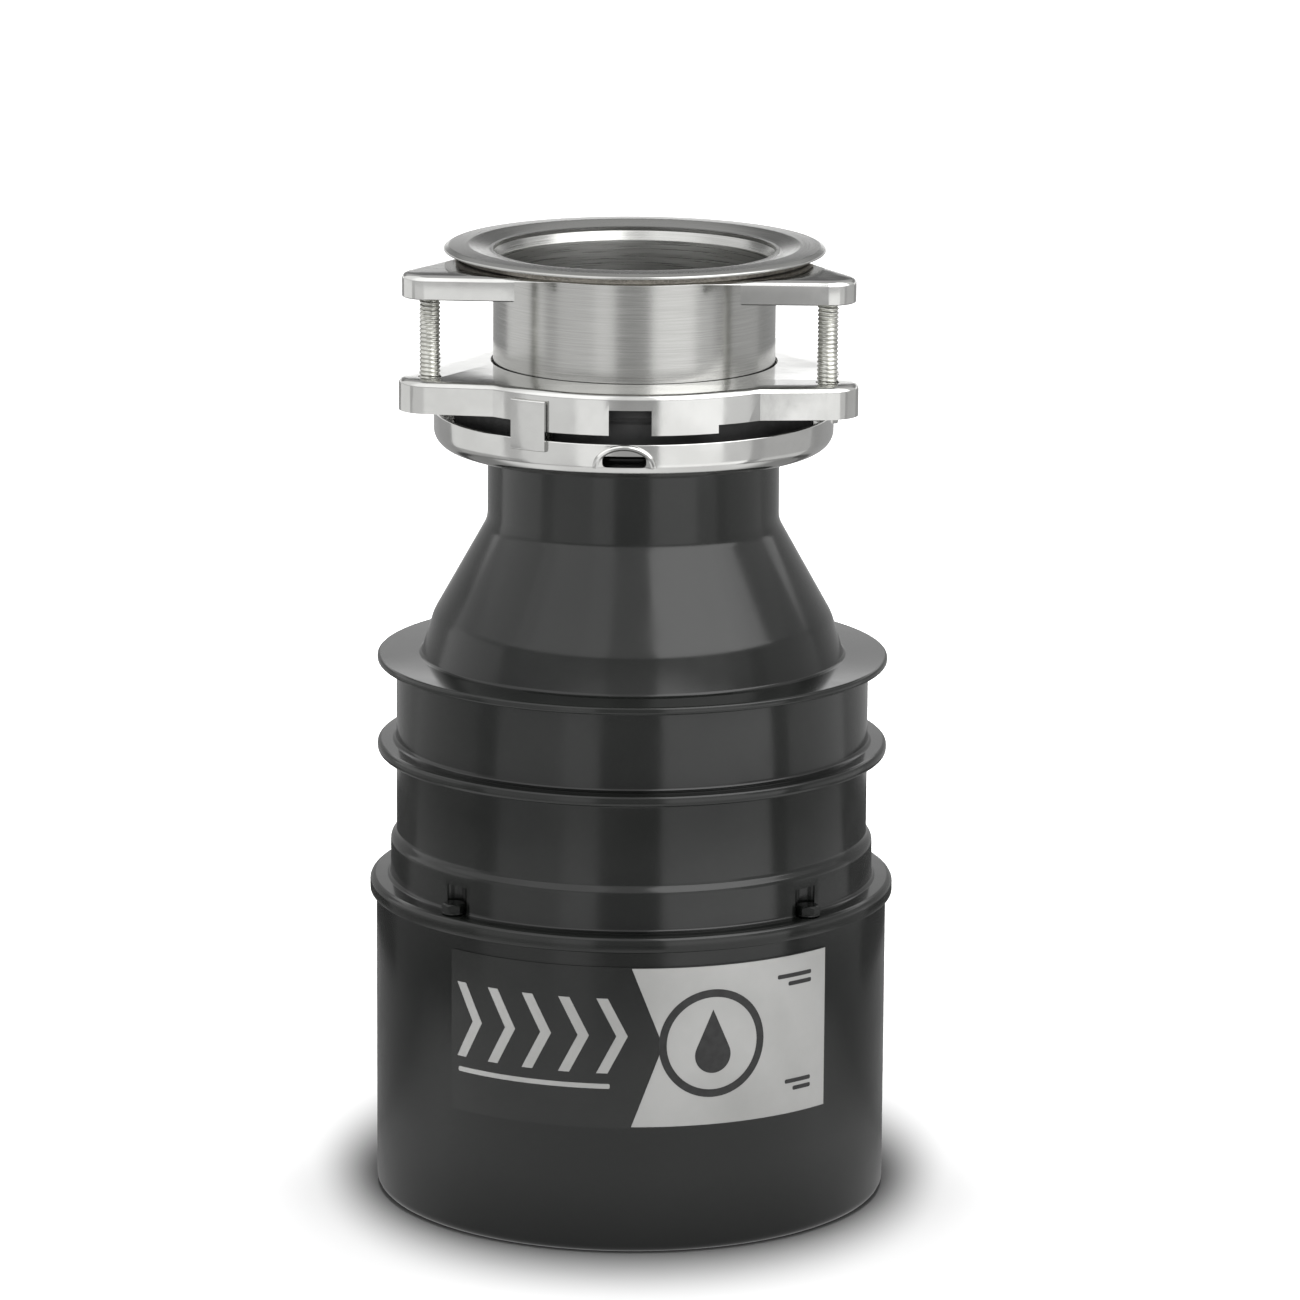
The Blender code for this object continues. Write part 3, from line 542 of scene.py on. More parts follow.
def make_hopper():
    widest, low, top = extent("hopper")
    collar_r = 52.0
    flange_top = 98.2
    profile = rounded([
        (collar_r, top, 0.8), (collar_r, COLLAR_BOTTOM, 0.8), (NECK_R, COLLAR_BOTTOM, 1.0),
        (NECK_R, 208.8, 9.0), (60.7, 179.5, 14.0), (SHOULDER_R, SHOULDER_Z, 1.4),
        (RIB_R, SHOULDER_Z, 0.9), (RIB_R, 165.0, 0.9), (WALL_R, 165.0, 1.4),
        (WALL_R, 140.6, 1.4), (RIB_R, 140.6, 1.3), (RIB_R, 137.0, 1.3), (WALL_R, 137.0, 1.4),
        (WALL_R, 112.0, 2.5), (73.8, 110.0, 2.5), (73.8, flange_top, 1.2),
        (widest, flange_top, 1.9), (widest, low, 0.3),
        (72.7, low), (72.7, 95.6), (70.4, 95.6), (70.4, low),
        (CHAMBER_R, low), (CHAMBER_R, 161.8, 1.0), (59.0, 164.4, 1.0),
        (59.0, 175.3, 4.0), (NECK_BORE_R, 208.8, 5.0), (NECK_BORE_R, top, 0.8),
    ])
    hopper = turned("hopper_fine", profile, 144)

    pad = prism("outlet_pad", rounded_box(66, 48, 9, (0, OUTLET_Z)), -OUTLET_FACE_Y, -63)
    moved(pad, tilt=90)
    bevelled(pad, 0.8, 3)
    boolean(pad, bar("pad_hollow", CHAMBER_R + 1.1, 100, 180, steps=96))
    boolean(hopper, pad, "UNION")

    stub_profile = rounded([
        (0, INLET_END_Y), (INLET_R, INLET_END_Y, 0.8), (INLET_R, 70.6, 0.4), (INLET_R - 0.9, 68.0, 0.4),
        (INLET_R - 0.9, 40), (0, 40)], closed=False)
    stub = moved(turned("stub", stub_profile, 48, closed=False), (0, 0, INLET_Z), tilt=-90)
    boolean(stub, turned("stub_hollow", [(0, 211), (41, 211), (60.3, 176), (0, 176)], 96, closed=False))
    boolean(hopper, stub, "UNION")
    boolean(hopper, [bar_y("outlet_bore", OUTLET_R, 40, 90, (0, OUTLET_Z), 64),
                     bar_y("inlet_bore", INLET_R - 3, 57.5, 90, (0, INLET_Z))])

    holes = [bar_y("outlet_screw_hole", 2.1, 70.5, 90, (x, OUTLET_Z), 20) for x in OUTLET_SCREW_X]
    holes += [bar("bolt_hole", 1.8, 90, 99, polar(BOLT_R, azimuth), 20) for azimuth in BOLT_AZIMUTHS]
    boolean(hopper, holes)
    boolean(hopper, [bar("bolt_pocket", 4.4, flange_top - 0.02, 106.5, polar(BOLT_R, azimuth), 32)
                     for azimuth in BOLT_AZIMUTHS])
    shown(hopper, "black_plastic", node="hopper")


def make_seals():
    radius, low, high = extent("hopper_gasket")
    turned_piece("hopper_gasket", rounded([
        (70.7, high, 0.5), (radius, high, 0.5), (radius, low, 0.5), (70.7, low, 0.5)]), "rubber")
    radius, low, high = extent("fibre_gasket")
    turned_piece("fibre_gasket", rounded([
        (43.4, high, 0.3), (radius, high, 0.5), (radius, low, 0.5), (43.4, low, 0.3)]), "fibre")


def make_housing_bolts():
    """Hex heads with a washer face, chamfered as real ones are."""
    head = 3.1
    for i, azimuth in enumerate(BOLT_AZIMUTHS):
        name = f"housing_bolt_{i + 1}"
        z0, z1 = levels(name)
        seat = z1 - head
        bolt = prism(name + "_fine", hexagon(6.4), seat + 0.4, z1)
        crown = turned("crown", rounded([
            (0, z1), (2.9, z1, 0.2), (3.75, z1 - 0.7, 0.2), (3.75, seat), (1.5, seat), (1.5, z0 + 0.4, 0.3),
            (1.1, z0), (0, z0)], closed=False), 32, closed=False)
        boolean(bolt, crown, "INTERSECT")
        shank = turned("shank", rounded([
            (0, seat + 1.5), (1.5, seat + 1.5), (1.5, seat + 0.5), (3.6, seat + 0.5, 0.1), (3.6, seat, 0.1),
            (1.5, seat), (1.5, z0 + 0.5), (1.1, z0), (0, z0)], closed=False), 32, closed=False)
        boolean(bolt, shank, "UNION")
        moved(bolt, (*polar(BOLT_R, azimuth), 0))
        shown(bolt, "black_enamel", node=name)


# ---------------------------------------------------------------- sink mount

SCREW_CIRCLE_R = 68.3
EAR_AZIMUTHS = (60, 180, 300)
SHEET = 1.3
MOUNT_TURN = -2.8
BOWL_TURN = -5.7
WINDOW_AZIMUTH = -1.0
TONGUE_AZIMUTH = -30.5
LUG_AZIMUTH = -2.6


def make_sink_flange():
    radius, low, top = extent("sink_flange")
    seat = top - 1.7
    inner = SLEEVE_R - SLEEVE_WALL
    profile = rounded([
        (inner, top - 5.2, 1.2), (inner + 1.7, top - 1.45, 2.6), (50.0, top, 3.0),
        (56.0, top - 0.15, 1.0), (radius, top - 0.9, 0.7),
        (radius, seat, 0.3), (54.9, seat), (54.9, seat + GAP), (SLEEVE_R, seat + GAP),
        (SLEEVE_R, 256.1), (SLEEVE_R - 0.6, 256.1),
        (SLEEVE_R - 0.6, 253.7), (SLEEVE_R, 253.7), (SLEEVE_R, low, 0.4), (inner, low, 0.4),
    ], facets=6)
    turned_piece("sink_flange", profile, "sleeve_steel", steps=144)


def eared_outline(middle_r, ear_r, inset):
    """A rounded triangle with an ear at azimuths 60, 180 and 300, its sides bulging to a circle."""
    ear_steps, side_steps = 14, 20
    middle_r -= inset
    ear_r -= inset
    half = math.degrees(math.acos((SCREW_CIRCLE_R / 2 + ear_r) / middle_r)) - 3
    points = []
    for ear_azimuth in EAR_AZIMUTHS:
        ear_angle = ear_azimuth - 90
        points += arc(polar(SCREW_CIRCLE_R, ear_azimuth), ear_r, ear_angle - 60, ear_angle + 60, ear_steps)
        points += arc((0, 0), middle_r, ear_angle + 60 - half, ear_angle + 60 + half, side_steps)
    return points


def stamped_tray(name, middle_r, ear_r, z0, z1, bend=1.9):
    """An eared sheet with its edge bent down: loops of the outline, lofted, with a lid and a ceiling."""
    section = [(bend * (1 - math.sin(a)), z1 - bend * (1 - math.cos(a)))
               for a in [math.radians(90 * k / 5) for k in range(6)]]
    section += [(0, z0 + 0.3), (0.3, z0), (SHEET - 0.3, z0), (SHEET, z0 + 0.3)]
    small = bend - SHEET
    section += [(SHEET + small * (1 - math.cos(a)), z1 - SHEET - small * (1 - math.sin(a)))
                for a in [math.radians(90 * k / 3) for k in range(4)]]
    rings = [[(x, y, z) for x, y in eared_outline(middle_r, ear_r, inset)] for inset, z in section]
    return moved(lofted(name, rings), turn=MOUNT_TURN)


def sectors(name, profile, centre, half, steps=14):
    """The same turned sector at three places round the axis."""
    return [turned(f"{name}_{i}", profile, steps, span=(centre + 120 * i - half, centre + 120 * i + half))
            for i in range(3)]


def ring_section(r0, r1, z0, z1):
    return [(r0, z1), (r1, z1), (r1, z0), (r0, z0)]


def make_backup_flange():
    """The bent edge is left only round the three ears."""
    z0, z1 = levels("backup_flange")
    flange = stamped_tray("backup_flange_fine", 47.8, 8.3, z0, z1, 1.7)
    under = z1 - SHEET - 0.02
    bore = SLEEVE_R + 0.7
    edge_r = 54.6
    boolean(flange, turned("clear", [(0, z1 + 2), (bore, z1 + 2), (bore, under), (edge_r, under),
                                     (edge_r, z0 - 2), (0, z0 - 2)], 96, closed=False))
    shown(flange, "chrome", node="backup_flange")


def make_upper_mounting_ring():
    z0, z1 = levels("upper_mounting_ring")
    skirt = 247.8
    ring = stamped_tray("upper_mounting_ring_fine", 60.4, 9.3, z0, z1)
    holes = [bar("bore", SLEEVE_R + 0.7, 240, 262, steps=96)]
    holes += [bar("screw_hole", 3.5, 240, 262, polar(SCREW_CIRCLE_R, azimuth + MOUNT_TURN))
              for azimuth in EAR_AZIMUTHS]
    boolean(ring, holes)
    boolean(ring, sectors("slot", ring_section(50, 85, z0 - 1, skirt), BOWL_TURN + 60, 29.8, 30))
    boolean(ring, sectors("ledge", ring_section(56.9, 59.8, skirt + 0.2, skirt + SHEET),
                          WINDOW_AZIMUTH + 60, 52.5, 40), "UNION")
    windows = sectors("window", ring_section(55, 66, z0 - 1, 252.8), WINDOW_AZIMUTH, 6.0)
    boolean(ring, windows)
    shown(ring, "chrome", node="upper_mounting_ring")


def make_mounting_screws():
    """Quarter inch screws, 20 threads to the inch, with slotted heads below."""
    pitch, major, minor = 1.27, 3.17, 2.68
    head, slot_width, slot_depth = 3.0, 1.4, 1.3
    around, rows_per_turn = 24, 6
    for i, azimuth in enumerate(EAR_AZIMUTHS):
        name = f"mounting_screw_{i + 1}"
        bottom, z1 = levels(name)
        z0 = bottom + head
        rows = int((z1 - z0) / (pitch / rows_per_turn))
        rings = []
        for row in range(rows + 1):
            z = z0 + (z1 - z0) * row / rows
            ring = []
            for k in range(around):
                phase = (z / pitch - k / around) % 1.0
                tooth = min(1.0, 2.6 * min(phase, 1 - phase))
                taper = min(1.0, (z1 - z) / 1.2)
                radius = minor + (major - minor) * tooth * taper
                ring.append((*polar(radius, -360 * k / around), z))
            rings.append(ring)
        screw = lofted(name + "_fine", rings)
        boolean(screw, turned("head", rounded([
            (0, z0 + 0.6), (2.6, z0 + 0.6), (2.6, z0), (5.2, z0, 0.4), (5.2, bottom, 1.2),
            (0, bottom)], closed=False), SMALL_STEPS, closed=False), "UNION")
        boolean(screw, prism("slot", rounded_box(14, slot_width, 0.1), bottom - 1, bottom + slot_depth))
        moved(screw, (*polar(SCREW_CIRCLE_R, azimuth + MOUNT_TURN), 0))
        shown(screw, "zinc_steel", node=name)


def make_snap_ring():
    low, high = levels("snap_ring")
    groove = SLEEVE_R - 0.3
    ring = turned("snap_ring_fine", rounded([
        (groove, high, 0.6), (46.6, high, 0.6), (46.6, low, 0.6), (groove, low, 0.6)]), 96,
        span=(185.5, 534.5))
    shown(ring, "zinc_steel", node="snap_ring")


def make_mounting_gasket():
    radius, low, high = extent("mounting_gasket")
    bore = NECK_BORE_R - 0.5
    flap_top = 239.7
    profile = rounded([
        (SLEEVE_R + 0.4, high, 0.4), (radius - 0.4, high, 0.8), (radius, high - 3.0, 0.5),
        (radius - 0.7, high - 4.0, 0.4), (radius, high - 5.0, 0.4),
        (radius, low, 0.9), (8.0, low, 0.3), (8.0, flap_top - 0.5, 0.3), (16.0, flap_top - 0.4, 1.0),
        (bore - 1.5, flap_top, 1.0), (bore, 242.5, 0.6), (bore, 246.1, 0.4), (SLEEVE_R + 0.4, 246.1, 0.2),
    ])
    gasket = turned("mounting_gasket_fine", profile, 120)
    slits = [moved(prism("slit", rounded_box(0.7, 30, 0.2), 235, 241.2), (*polar(21.5, azimuth), 0), azimuth)
             for azimuth in [22.5 + 45 * i for i in range(8)]]
    boolean(gasket, slits)
    shown(gasket, "rubber", node="mounting_gasket")


def make_lower_mounting_ring():
    radius, rim, corner = 60.6, 242.7, 8.0
    bottom, _ = levels("lower_mounting_ring")
    profile = rounded([
        (radius - SHEET, rim, 0.4), (radius, rim, 0.4), (radius, bottom, corner), (44.9, bottom, 0.4),
        (44.9, bottom + SHEET, 0.4), (radius - SHEET, bottom + SHEET, corner - SHEET)], facets=10)
    bowl = turned("lower_mounting_ring_fine", profile, 144)
    tongue = rounded([
        (55.2, 250.8, 0.8), (58.6, 250.8, 0.3), (58.6, 249.5, 0.3), (56.5, 249.5, 0.3), (56.5, 241.4, 0.3),
        (59.9, 241.4), (59.9, 239.9), (55.2, 239.9, 0.8)], facets=3)
    boolean(bowl, sectors("tongue", tongue, TONGUE_AZIMUTH, 5.0), "UNION")
    strap = rounded([
        (60.8, 254.6, 0.4), (62.0, 254.6, 0.4), (62.0, 239.4, 0.6), (60.0, 239.4), (60.0, 242.0),
        (60.8, 242.4, 0.3)], facets=3)
    boolean(bowl, sectors("strap", strap, TONGUE_AZIMUTH, 5.4), "UNION")
    lug_azimuths = [LUG_AZIMUTH + 120 * i for i in range(3)]
    for azimuth in lug_azimuths:
        boolean(bowl, wrench_loop("loop", azimuth), "UNION")
    eyes = []
    for azimuth in lug_azimuths:
        eye = moved(prism("eye", rounded_box(13, 3.4, 1.2), -6, 6), tilt=90)
        eyes.append(moved(eye, (*polar(58.5, azimuth), 237.5), turn=azimuth))
    boolean(bowl, eyes)
    shown(bowl, "chrome", "lock_ring", "lower_mounting_ring")


def wrench_loop(name, azimuth):
    """The raised rim over the eye that the wrench hooks into: a round bar bent to an arch."""
    bar_r, sides = 0.9, 10
    bm = bmesh.new()
    rings = []
    path = [Vector((x * 8.6, -61.0 + 1.6 * (1 - z), 235.6 + 6.2 * z)) for x, z in arc((0, 0), 1, 180, 0, 24)]
    for k, point in enumerate(path):
        along = (path[min(k + 1, len(path) - 1)] - path[max(k - 1, 0)]).normalized()
        side = along.cross(Vector((0, 1, 0))).normalized()
        up = side.cross(along)
        rings.append([bm.verts.new((point + bar_r * (side * math.cos(t) + up * math.sin(t))) * MM)
                      for t in [2 * math.pi * s / sides for s in range(sides)]])
    for a, b in zip(rings, rings[1:]):
        for s in range(sides):
            n = (s + 1) % sides
            bm.faces.new([a[s], a[n], b[n], b[s]])
    bm.faces.new(rings[0])
    bm.faces.new(list(reversed(rings[-1])))
    return moved(solid(name, bm), turn=azimuth)


# ---------------------------------------------------------------- label

LABEL_R = 78.57
LABEL_Z0, LABEL_Z1 = levels("nameplate")


def wrapped(name, outlines, lift, thickness, material):
    """Flat outlines in (distance round the can, z), made solid and wrapped on the can's front."""
    curve = bpy.data.curves.new(name, "CURVE")
    curve.dimensions = "2D"
    curve.fill_mode = "BOTH"
    curve.extrude = thickness / 2
    for points in outlines:
        spline = curve.splines.new("POLY")
        spline.points.add(len(points) - 1)
        for point, (x, y) in zip(spline.points, points):
            point.co = (x, y, 0, 1)
        spline.use_cyclic_u = True
    flat = bpy.data.objects.new(name + "_flat", curve)
    bpy.context.scene.collection.objects.link(flat)
    bpy.context.view_layer.update()
    mesh = bpy.data.meshes.new_from_object(flat.evaluated_get(bpy.context.evaluated_depsgraph_get()))
    bpy.data.objects.remove(flat)
    bm = bmesh.new()
    bm.from_mesh(mesh)
    bmesh.ops.remove_doubles(bm, verts=bm.verts, dist=0.0001)
    start = math.floor(min(v.co.x for v in bm.verts))
    end = math.ceil(max(v.co.x for v in bm.verts))
    strip = 2
    for step in range(start, end, strip):
        bmesh.ops.bisect_plane(bm, geom=bm.verts[:] + bm.edges[:] + bm.faces[:], dist=0.0001,
                               plane_co=(step, 0, 0), plane_no=(1, 0, 0))
    for v in bm.verts:
        x, y = polar(LABEL_R + lift + thickness / 2 + v.co.z, math.degrees(v.co.x / LABEL_R))
        v.co = (x * MM, y * MM, v.co.y * MM)
    bmesh.ops.recalc_face_normals(bm, faces=bm.faces)
    bm.to_mesh(mesh)
    bm.free()
    return shown(to_object(name, mesh), material)


def make_nameplate():
    """A black film with a notched silver flag, a ring with a drop, chevrons and plain bars."""
    per_degree = math.radians(1) * LABEL_R
    left, right = -43.0 * per_degree, 48.2 * per_degree
    film, silver, ink, margin = 0.25, 0.05, 0.04, 0.4
    middle = ((left + right) / 2, (LABEL_Z0 + LABEL_Z1) / 2)
    base = wrapped("nameplate_film", [rounded_box(right - left, LABEL_Z1 - LABEL_Z0, 0.8, middle)],
                   -film, film, "label_film")
    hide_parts("nameplate")

    low, high, notch_z = LABEL_Z0 + margin, LABEL_Z1 - margin, 64.5
    flag = [(right - margin, low), (right - margin, high), (margin, high), (9.8, notch_z), (margin, low)]
    wrapped("nameplate_flag", [flag], 0.0, silver, "label_silver")
    ring_x = 25.1
    ring = [circle(radius, 72, (ring_x, notch_z)) for radius in (16.6, 14.2)]
    wrapped("nameplate_ring", ring, silver, ink, "label_ink")
    drop = [(ring_x, notch_z + 10.4)] + arc((ring_x, notch_z - 3.6), 5.6, 155, 385, 28)
    wrapped("nameplate_drop", [list(reversed(drop))], silver, ink, "label_ink")

    for i, (width, z) in enumerate(((13.0, 82.2), (9.0, 79.7), (10.0, 49.4), (7.0, 47.0))):
        at = (right - 6.5 - width / 2, z)
        wrapped(f"nameplate_bar_{i + 1}", [rounded_box(width, 1.3, 0.5, at)], silver, ink, "label_ink")

    reach, stroke, pitch = 6.0, 3.4, 11.6
    bottom, tip, top = 56.0, 67.5, 79.0
    for i in range(5):
        x = -56.5 + pitch * i
        chevron = [(x, top), (x + stroke, top), (x + stroke + reach, tip), (x + stroke, bottom),
                   (x, bottom), (x + reach, tip)]
        wrapped(f"nameplate_chevron_{i + 1}", [chevron], 0.0, silver, "label_silver")
    wrapped("nameplate_underline", [rounded_box(50, 1.5, 0.5, (-31.0, 52.0))], 0.0, silver, "label_silver")


# ---------------------------------------------------------------- grinding chamber and motor

TURNTABLE_Z = 149.0
LUG_X = 42.0
SHAFT_R = 6.0
BEARING_R = SHAFT_R + GAP


def make_grinding_chamber():
    radius, low, high = extent("shredder_ring")
    ring = turned("shredder_ring_fine", rounded([
        (66.6, high, 0.5), (radius, high, 0.5), (radius, low, 0.3), (66.6, low, 0.3)]), 120)
    slots = [moved(prism("slot", rounded_box(6.5, 6, 0.6), low - 1, low + 10),
                   (*polar(67.5, 18 * i), 0), turn=18 * i) for i in range(20)]
    boolean(ring, slots)
    shown(ring, "ground_steel", node="shredder_ring")

    z = TURNTABLE_Z
    radius = extent("turntable")[0]
    table = turned("turntable_fine", rounded([
        (BEARING_R, z + 4.0, 0.3), (15.0, z + 4.0, 0.5), (16.5, z + 2.2, 0.8), (radius, z + 2.0, 0.7),
        (radius, z, 0.4), (16.0, z, 0.8), (14.0, z - 4.0, 0.5), (BEARING_R, z - 4.0, 0.3)]), 120)
    holes = [bar("rivet_hole", 3.3, z - 5, z + 5, (side * LUG_X, 0)) for side in (-1, 1)]
    holes += [bar("drain", 3.0, z - 5, z + 5, polar(52, 30 + 60 * i)) for i in range(6)]
    boolean(table, holes)
    shown(table, "stainless", "rotor", "turntable")

    low, high = levels("turntable_nut")
    nut = prism("turntable_nut_fine", hexagon(19.0), low, high)
    boolean(nut, turned("crown", [(0, high), (9.3, high), (11.2, high - 1.1), (11.2, low + 1.1), (9.3, low),
                                  (0, low)], 48, closed=False), "INTERSECT")
    boolean(nut, bar("nut_bore", BEARING_R, low - 1, high + 1))
    shown(bevelled(nut, 0.2), "zinc_steel", "rotor", "turntable_nut")

    outline = arc((0, 0), 9.0, 90, 270, 20) + arc((12.0, -2.5), 5.5, -70, 70, 12)
    for i, side in enumerate((-1, 1)):
        x = side * LUG_X
        lug = bevelled(prism(f"impeller_lug_{i + 1}_fine", outline, z + 2.4, z + 9.4), 0.9, 3, 50)
        boolean(lug, bar("pivot_hole", 3.4, z, z + 12))
        moved(lug, (x, 0, 0), turn=90 + 180 * i)
        shown(lug, "ground_steel", f"lug_{i + 1}", f"impeller_lug_{i + 1}")
        turned_piece(f"lug_rivet_{i + 1}", rounded([
            (0, z + 12.0), (3.6, z + 12.0, 1.8), (5.4, z + 9.8, 0.3), (3.0, z + 9.8), (3.0, z - 0.4),
            (4.8, z - 0.4, 0.3), (4.8, z - 2.4, 0.9), (0, z - 2.4)], closed=False), "zinc_steel",
            "rotor", 32, False, (x, 0))


def make_motor():
    _, top = levels("rotor_shaft")
    bottom = 7.2
    shaft = turned("rotor_shaft_fine", rounded([
        (0, top), (SHAFT_R, top, 0.7), (SHAFT_R, bottom, 0.5), (0, bottom)], closed=False), 48, closed=False)
    boolean(shaft, prism("socket", hexagon(6.35), 5, 21))
    shown(shaft, "ground_steel", "rotor", "rotor_shaft")

    radius, low, high = extent("rotor_core")
    turned_piece("rotor_core", rounded([
        (BEARING_R, high - 3.5), (26.0, high - 3.5, 0.6), (28.0, high, 0.8), (radius, high, 0.8),
        (radius, low, 0.8), (28.0, low, 0.8), (26.0, low + 3.5, 0.6), (BEARING_R, low + 3.5)]),
        "lamination", "rotor", 96)

    for node, side in (("upper_winding", 1), ("lower_winding", -1)):
        radius, low, high = extent(node)
        profile = rounded([(44.0, high, 3.5), (radius, high, 3.5), (radius, low, 1.0), (44.0, low, 1.0)])
        winding = turned(node + "_fine", profile, 96)
        for vertex in winding.data.vertices:
            turn = math.atan2(vertex.co.y, vertex.co.x)
            if abs(vertex.co.z / MM - (low + high) / 2) > (high - low) / 2 - 3.6:
                vertex.co.z -= side * 0.5 * MM * (1 - abs(math.cos(12 * turn)))
        shown(winding, "copper_winding", node=node)

    for node in ("upper_bushing", "lower_bushing", "thrust_washer"):
        radius, low, high = extent(node)
        turned_piece(node, rounded([(BEARING_R, high, 0.3), (radius, high, 0.3), (radius, low, 0.3),
                                    (BEARING_R, low, 0.3)]), "bronze", steps=48)

    radius, low, high = extent("shaft_seal")
    turned_piece("shaft_seal", rounded([
        (BEARING_R, high - 1.4, 0.2), (8.0, high, 0.4), (radius, high - 0.6, 0.5), (radius, low, 0.4),
        (BEARING_R, low, 0.4)]), "rubber", steps=48)

    radius, low, high = extent("switch_actuator")
    bore = SHAFT_R + 0.4
    turned_piece("switch_actuator", rounded([
        (bore, high), (radius, high, 0.4), (radius, high - 2.0, 0.4), (9.5, high - 3.0, 0.8), (9.5, low, 0.5),
        (bore, low)]), "black_plastic", "actuator", 48)


def crossed_slot(z0, z1):
    """A cutter for a cross recess."""
    length, width = 4.2, 0.8
    cross = prism("cross", rounded_box(length, width, 0.2), z0, z1)
    return boolean(cross, prism("arm", rounded_box(width, length, 0.2), z0 - 0.01, z1 + 0.01), "UNION")


def make_underside():
    """What shows under the base: protector, reset button, cover and screws."""
    low, high = levels("overload_protector")
    turned_piece("overload_protector", rounded([
        (5.2, high, 0.4), (9.8, high, 0.8), (9.8, low, 0.5), (5.2, low, 0.4)]), "black_plastic",
        steps=48, at=(BUTTON_X, BUTTON_Y))
    low, high = levels("reset_button")
    turned_piece("reset_button", rounded([
        (0, high), (4.6, high, 0.3), (4.6, low, 1.0), (3.2, low, 0.3), (2.9, low + 0.3, 0.2),
        (0, low + 0.3)], closed=False), "red_plastic", "reset", 40, False,
        (BUTTON_X, BUTTON_Y))

    outline = rounded_box(62, 24, 5, (COVER_X, COVER_Y))
    cover = prism("terminal_cover_fine", outline, *levels("terminal_cover"))
    bevelled(cover, 0.3)
    boolean(cover, [bar("cover_hole", 1.9, 0, 6, (x, COVER_Y)) for x in COVER_SCREW_X]
            + [bar("cable_hole", 10.2, 0, 6, (COVER_X, COVER_Y), 64)])
    shown(cover, "zinc_steel", node="terminal_cover")

    for i, x in enumerate(COVER_SCREW_X):
        screw = turned(f"cover_screw_{i + 1}_fine", rounded([
            (0, 9.0), (1.6, 9.0, 0.4), (1.6, 2.1), (3.4, 2.1, 0.3), (3.3, 1.0, 0.7), (2.0, 0.45, 0.5),
            (0, 0.4)], closed=False), 32, closed=False)
        boolean(screw, crossed_slot(0.2, 1.3))
        moved(screw, (x, COVER_Y, 0))
        shown(screw, "zinc_steel", node=f"cover_screw_{i + 1}")
    ground = turned("ground_screw_fine", rounded([
        (0, 9.0), (2.0, 9.0, 0.4), (2.0, 3.7), (4.0, 3.7, 0.3), (3.8, 1.9, 0.6), (0, 1.6)], closed=False),
        32, closed=False)
    boolean(ground, crossed_slot(1.2, 2.6))
    moved(ground, (GROUND_X, GROUND_Y, 0))
    shown(ground, "green_zinc", node="ground_screw")


def finish_cad_nodes():
    """CAD nodes whose shape is right keep it, and only get their finish."""
    finishes = {
        "upper_end_bell": "cast_alloy", "lower_end_bell": "cast_alloy", "stator_core": "lamination",
        "start_switch": "black_plastic",
    }
    finishes.update({f"through_bolt_{i}": "zinc_steel" for i in range(1, 5)})
    for node, material in finishes.items():
        dress(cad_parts[node], material)


# ---------------------------------------------------------------- studio and camera

CAMERA_DISTANCE = 1.9554
CAMERA_HEIGHT = 0.6000
CAMERA_PITCH, CAMERA_YAW, CAMERA_ROLL = 12.467, 0.157, 0.371
CAMERA_LENS = 181.7
SURROUND_R = 0.35
PANEL_STEPS = 12
# What reflections see: azimuth from, azimuth to, and the radiance of each tier from the lowest up
TIER_EDGES = (0.0, 0.045, 0.12, 0.27, 0.314, 0.348, 0.45, 1.1)
SURROUND = (
    (-14, 13, 0.28, 0.45, 0.45, 0.5, 1.05, 1.05, 1.05),
    (13, 48, 0.95, 1.5, 1.3, 0.7, 3.2, 3.2, 3.2),
    (48, 65, 0.95, 1.5, 0.8, 0.7, 3.1, 3.1, 3.1),
    (65, 74, 0.24, 0.38, 0.5, 0.5, 2.9, 2.9, 2.9),
    (74, 84, 0.36, 0.80, 0.6, 0.6, 2.6, 2.6, 2.6),
    (84, 115, 0.36, 0.80, 0.6, 0.6, 0.8, 0.8, 0.8),
    (115, 160, 0.10, 0.42, 0.4, 1.3, 0.8, 0.3, 0.5),
    (160, 200, 0.25, 0.5, 0.65, 1.7, 1.05, 0.15, 0.5),
    (200, 240, 0.08, 0.38, 0.4, 1.3, 0.8, 0.3, 0.5),
    (-120, -73, 0.26, 0.52, 1.0, 0.8, 1.1, 1.1, 1.1),
    (-73, -62, 0.25, 0.40, 0.6, 0.6, 1.3, 1.3, 1.3),
    (-62, -30, 0.55, 0.85, 0.85, 0.6, 1.5, 1.5, 1.5),
    (-30, -14, 0.72, 1.15, 1.1, 0.6, 1.6, 1.6, 1.6),
)
# The painted contact shadow, in metres
SHADOW_X, SHADOW_Y = 0.0845, 0.105
SHADOW_BACK = 0.017
SHADOW_EDGE = 1.03
FRONT_SOFTNESS = 1.57


def make_camera():
    data = bpy.data.cameras.new("camera")
    data.lens = CAMERA_LENS
    data.sensor_width = 36.0
    camera = bpy.data.objects.new("camera", data)
    bpy.context.scene.collection.objects.link(camera)
    camera.matrix_world = (Matrix.Translation((0, -CAMERA_DISTANCE, CAMERA_HEIGHT))
                           @ Matrix.Rotation(math.radians(-CAMERA_YAW), 4, "Z")
                           @ Matrix.Rotation(math.radians(90 - CAMERA_PITCH), 4, "X")
                           @ Matrix.Rotation(math.radians(CAMERA_ROLL), 4, "Z"))
    bpy.context.scene.camera = camera


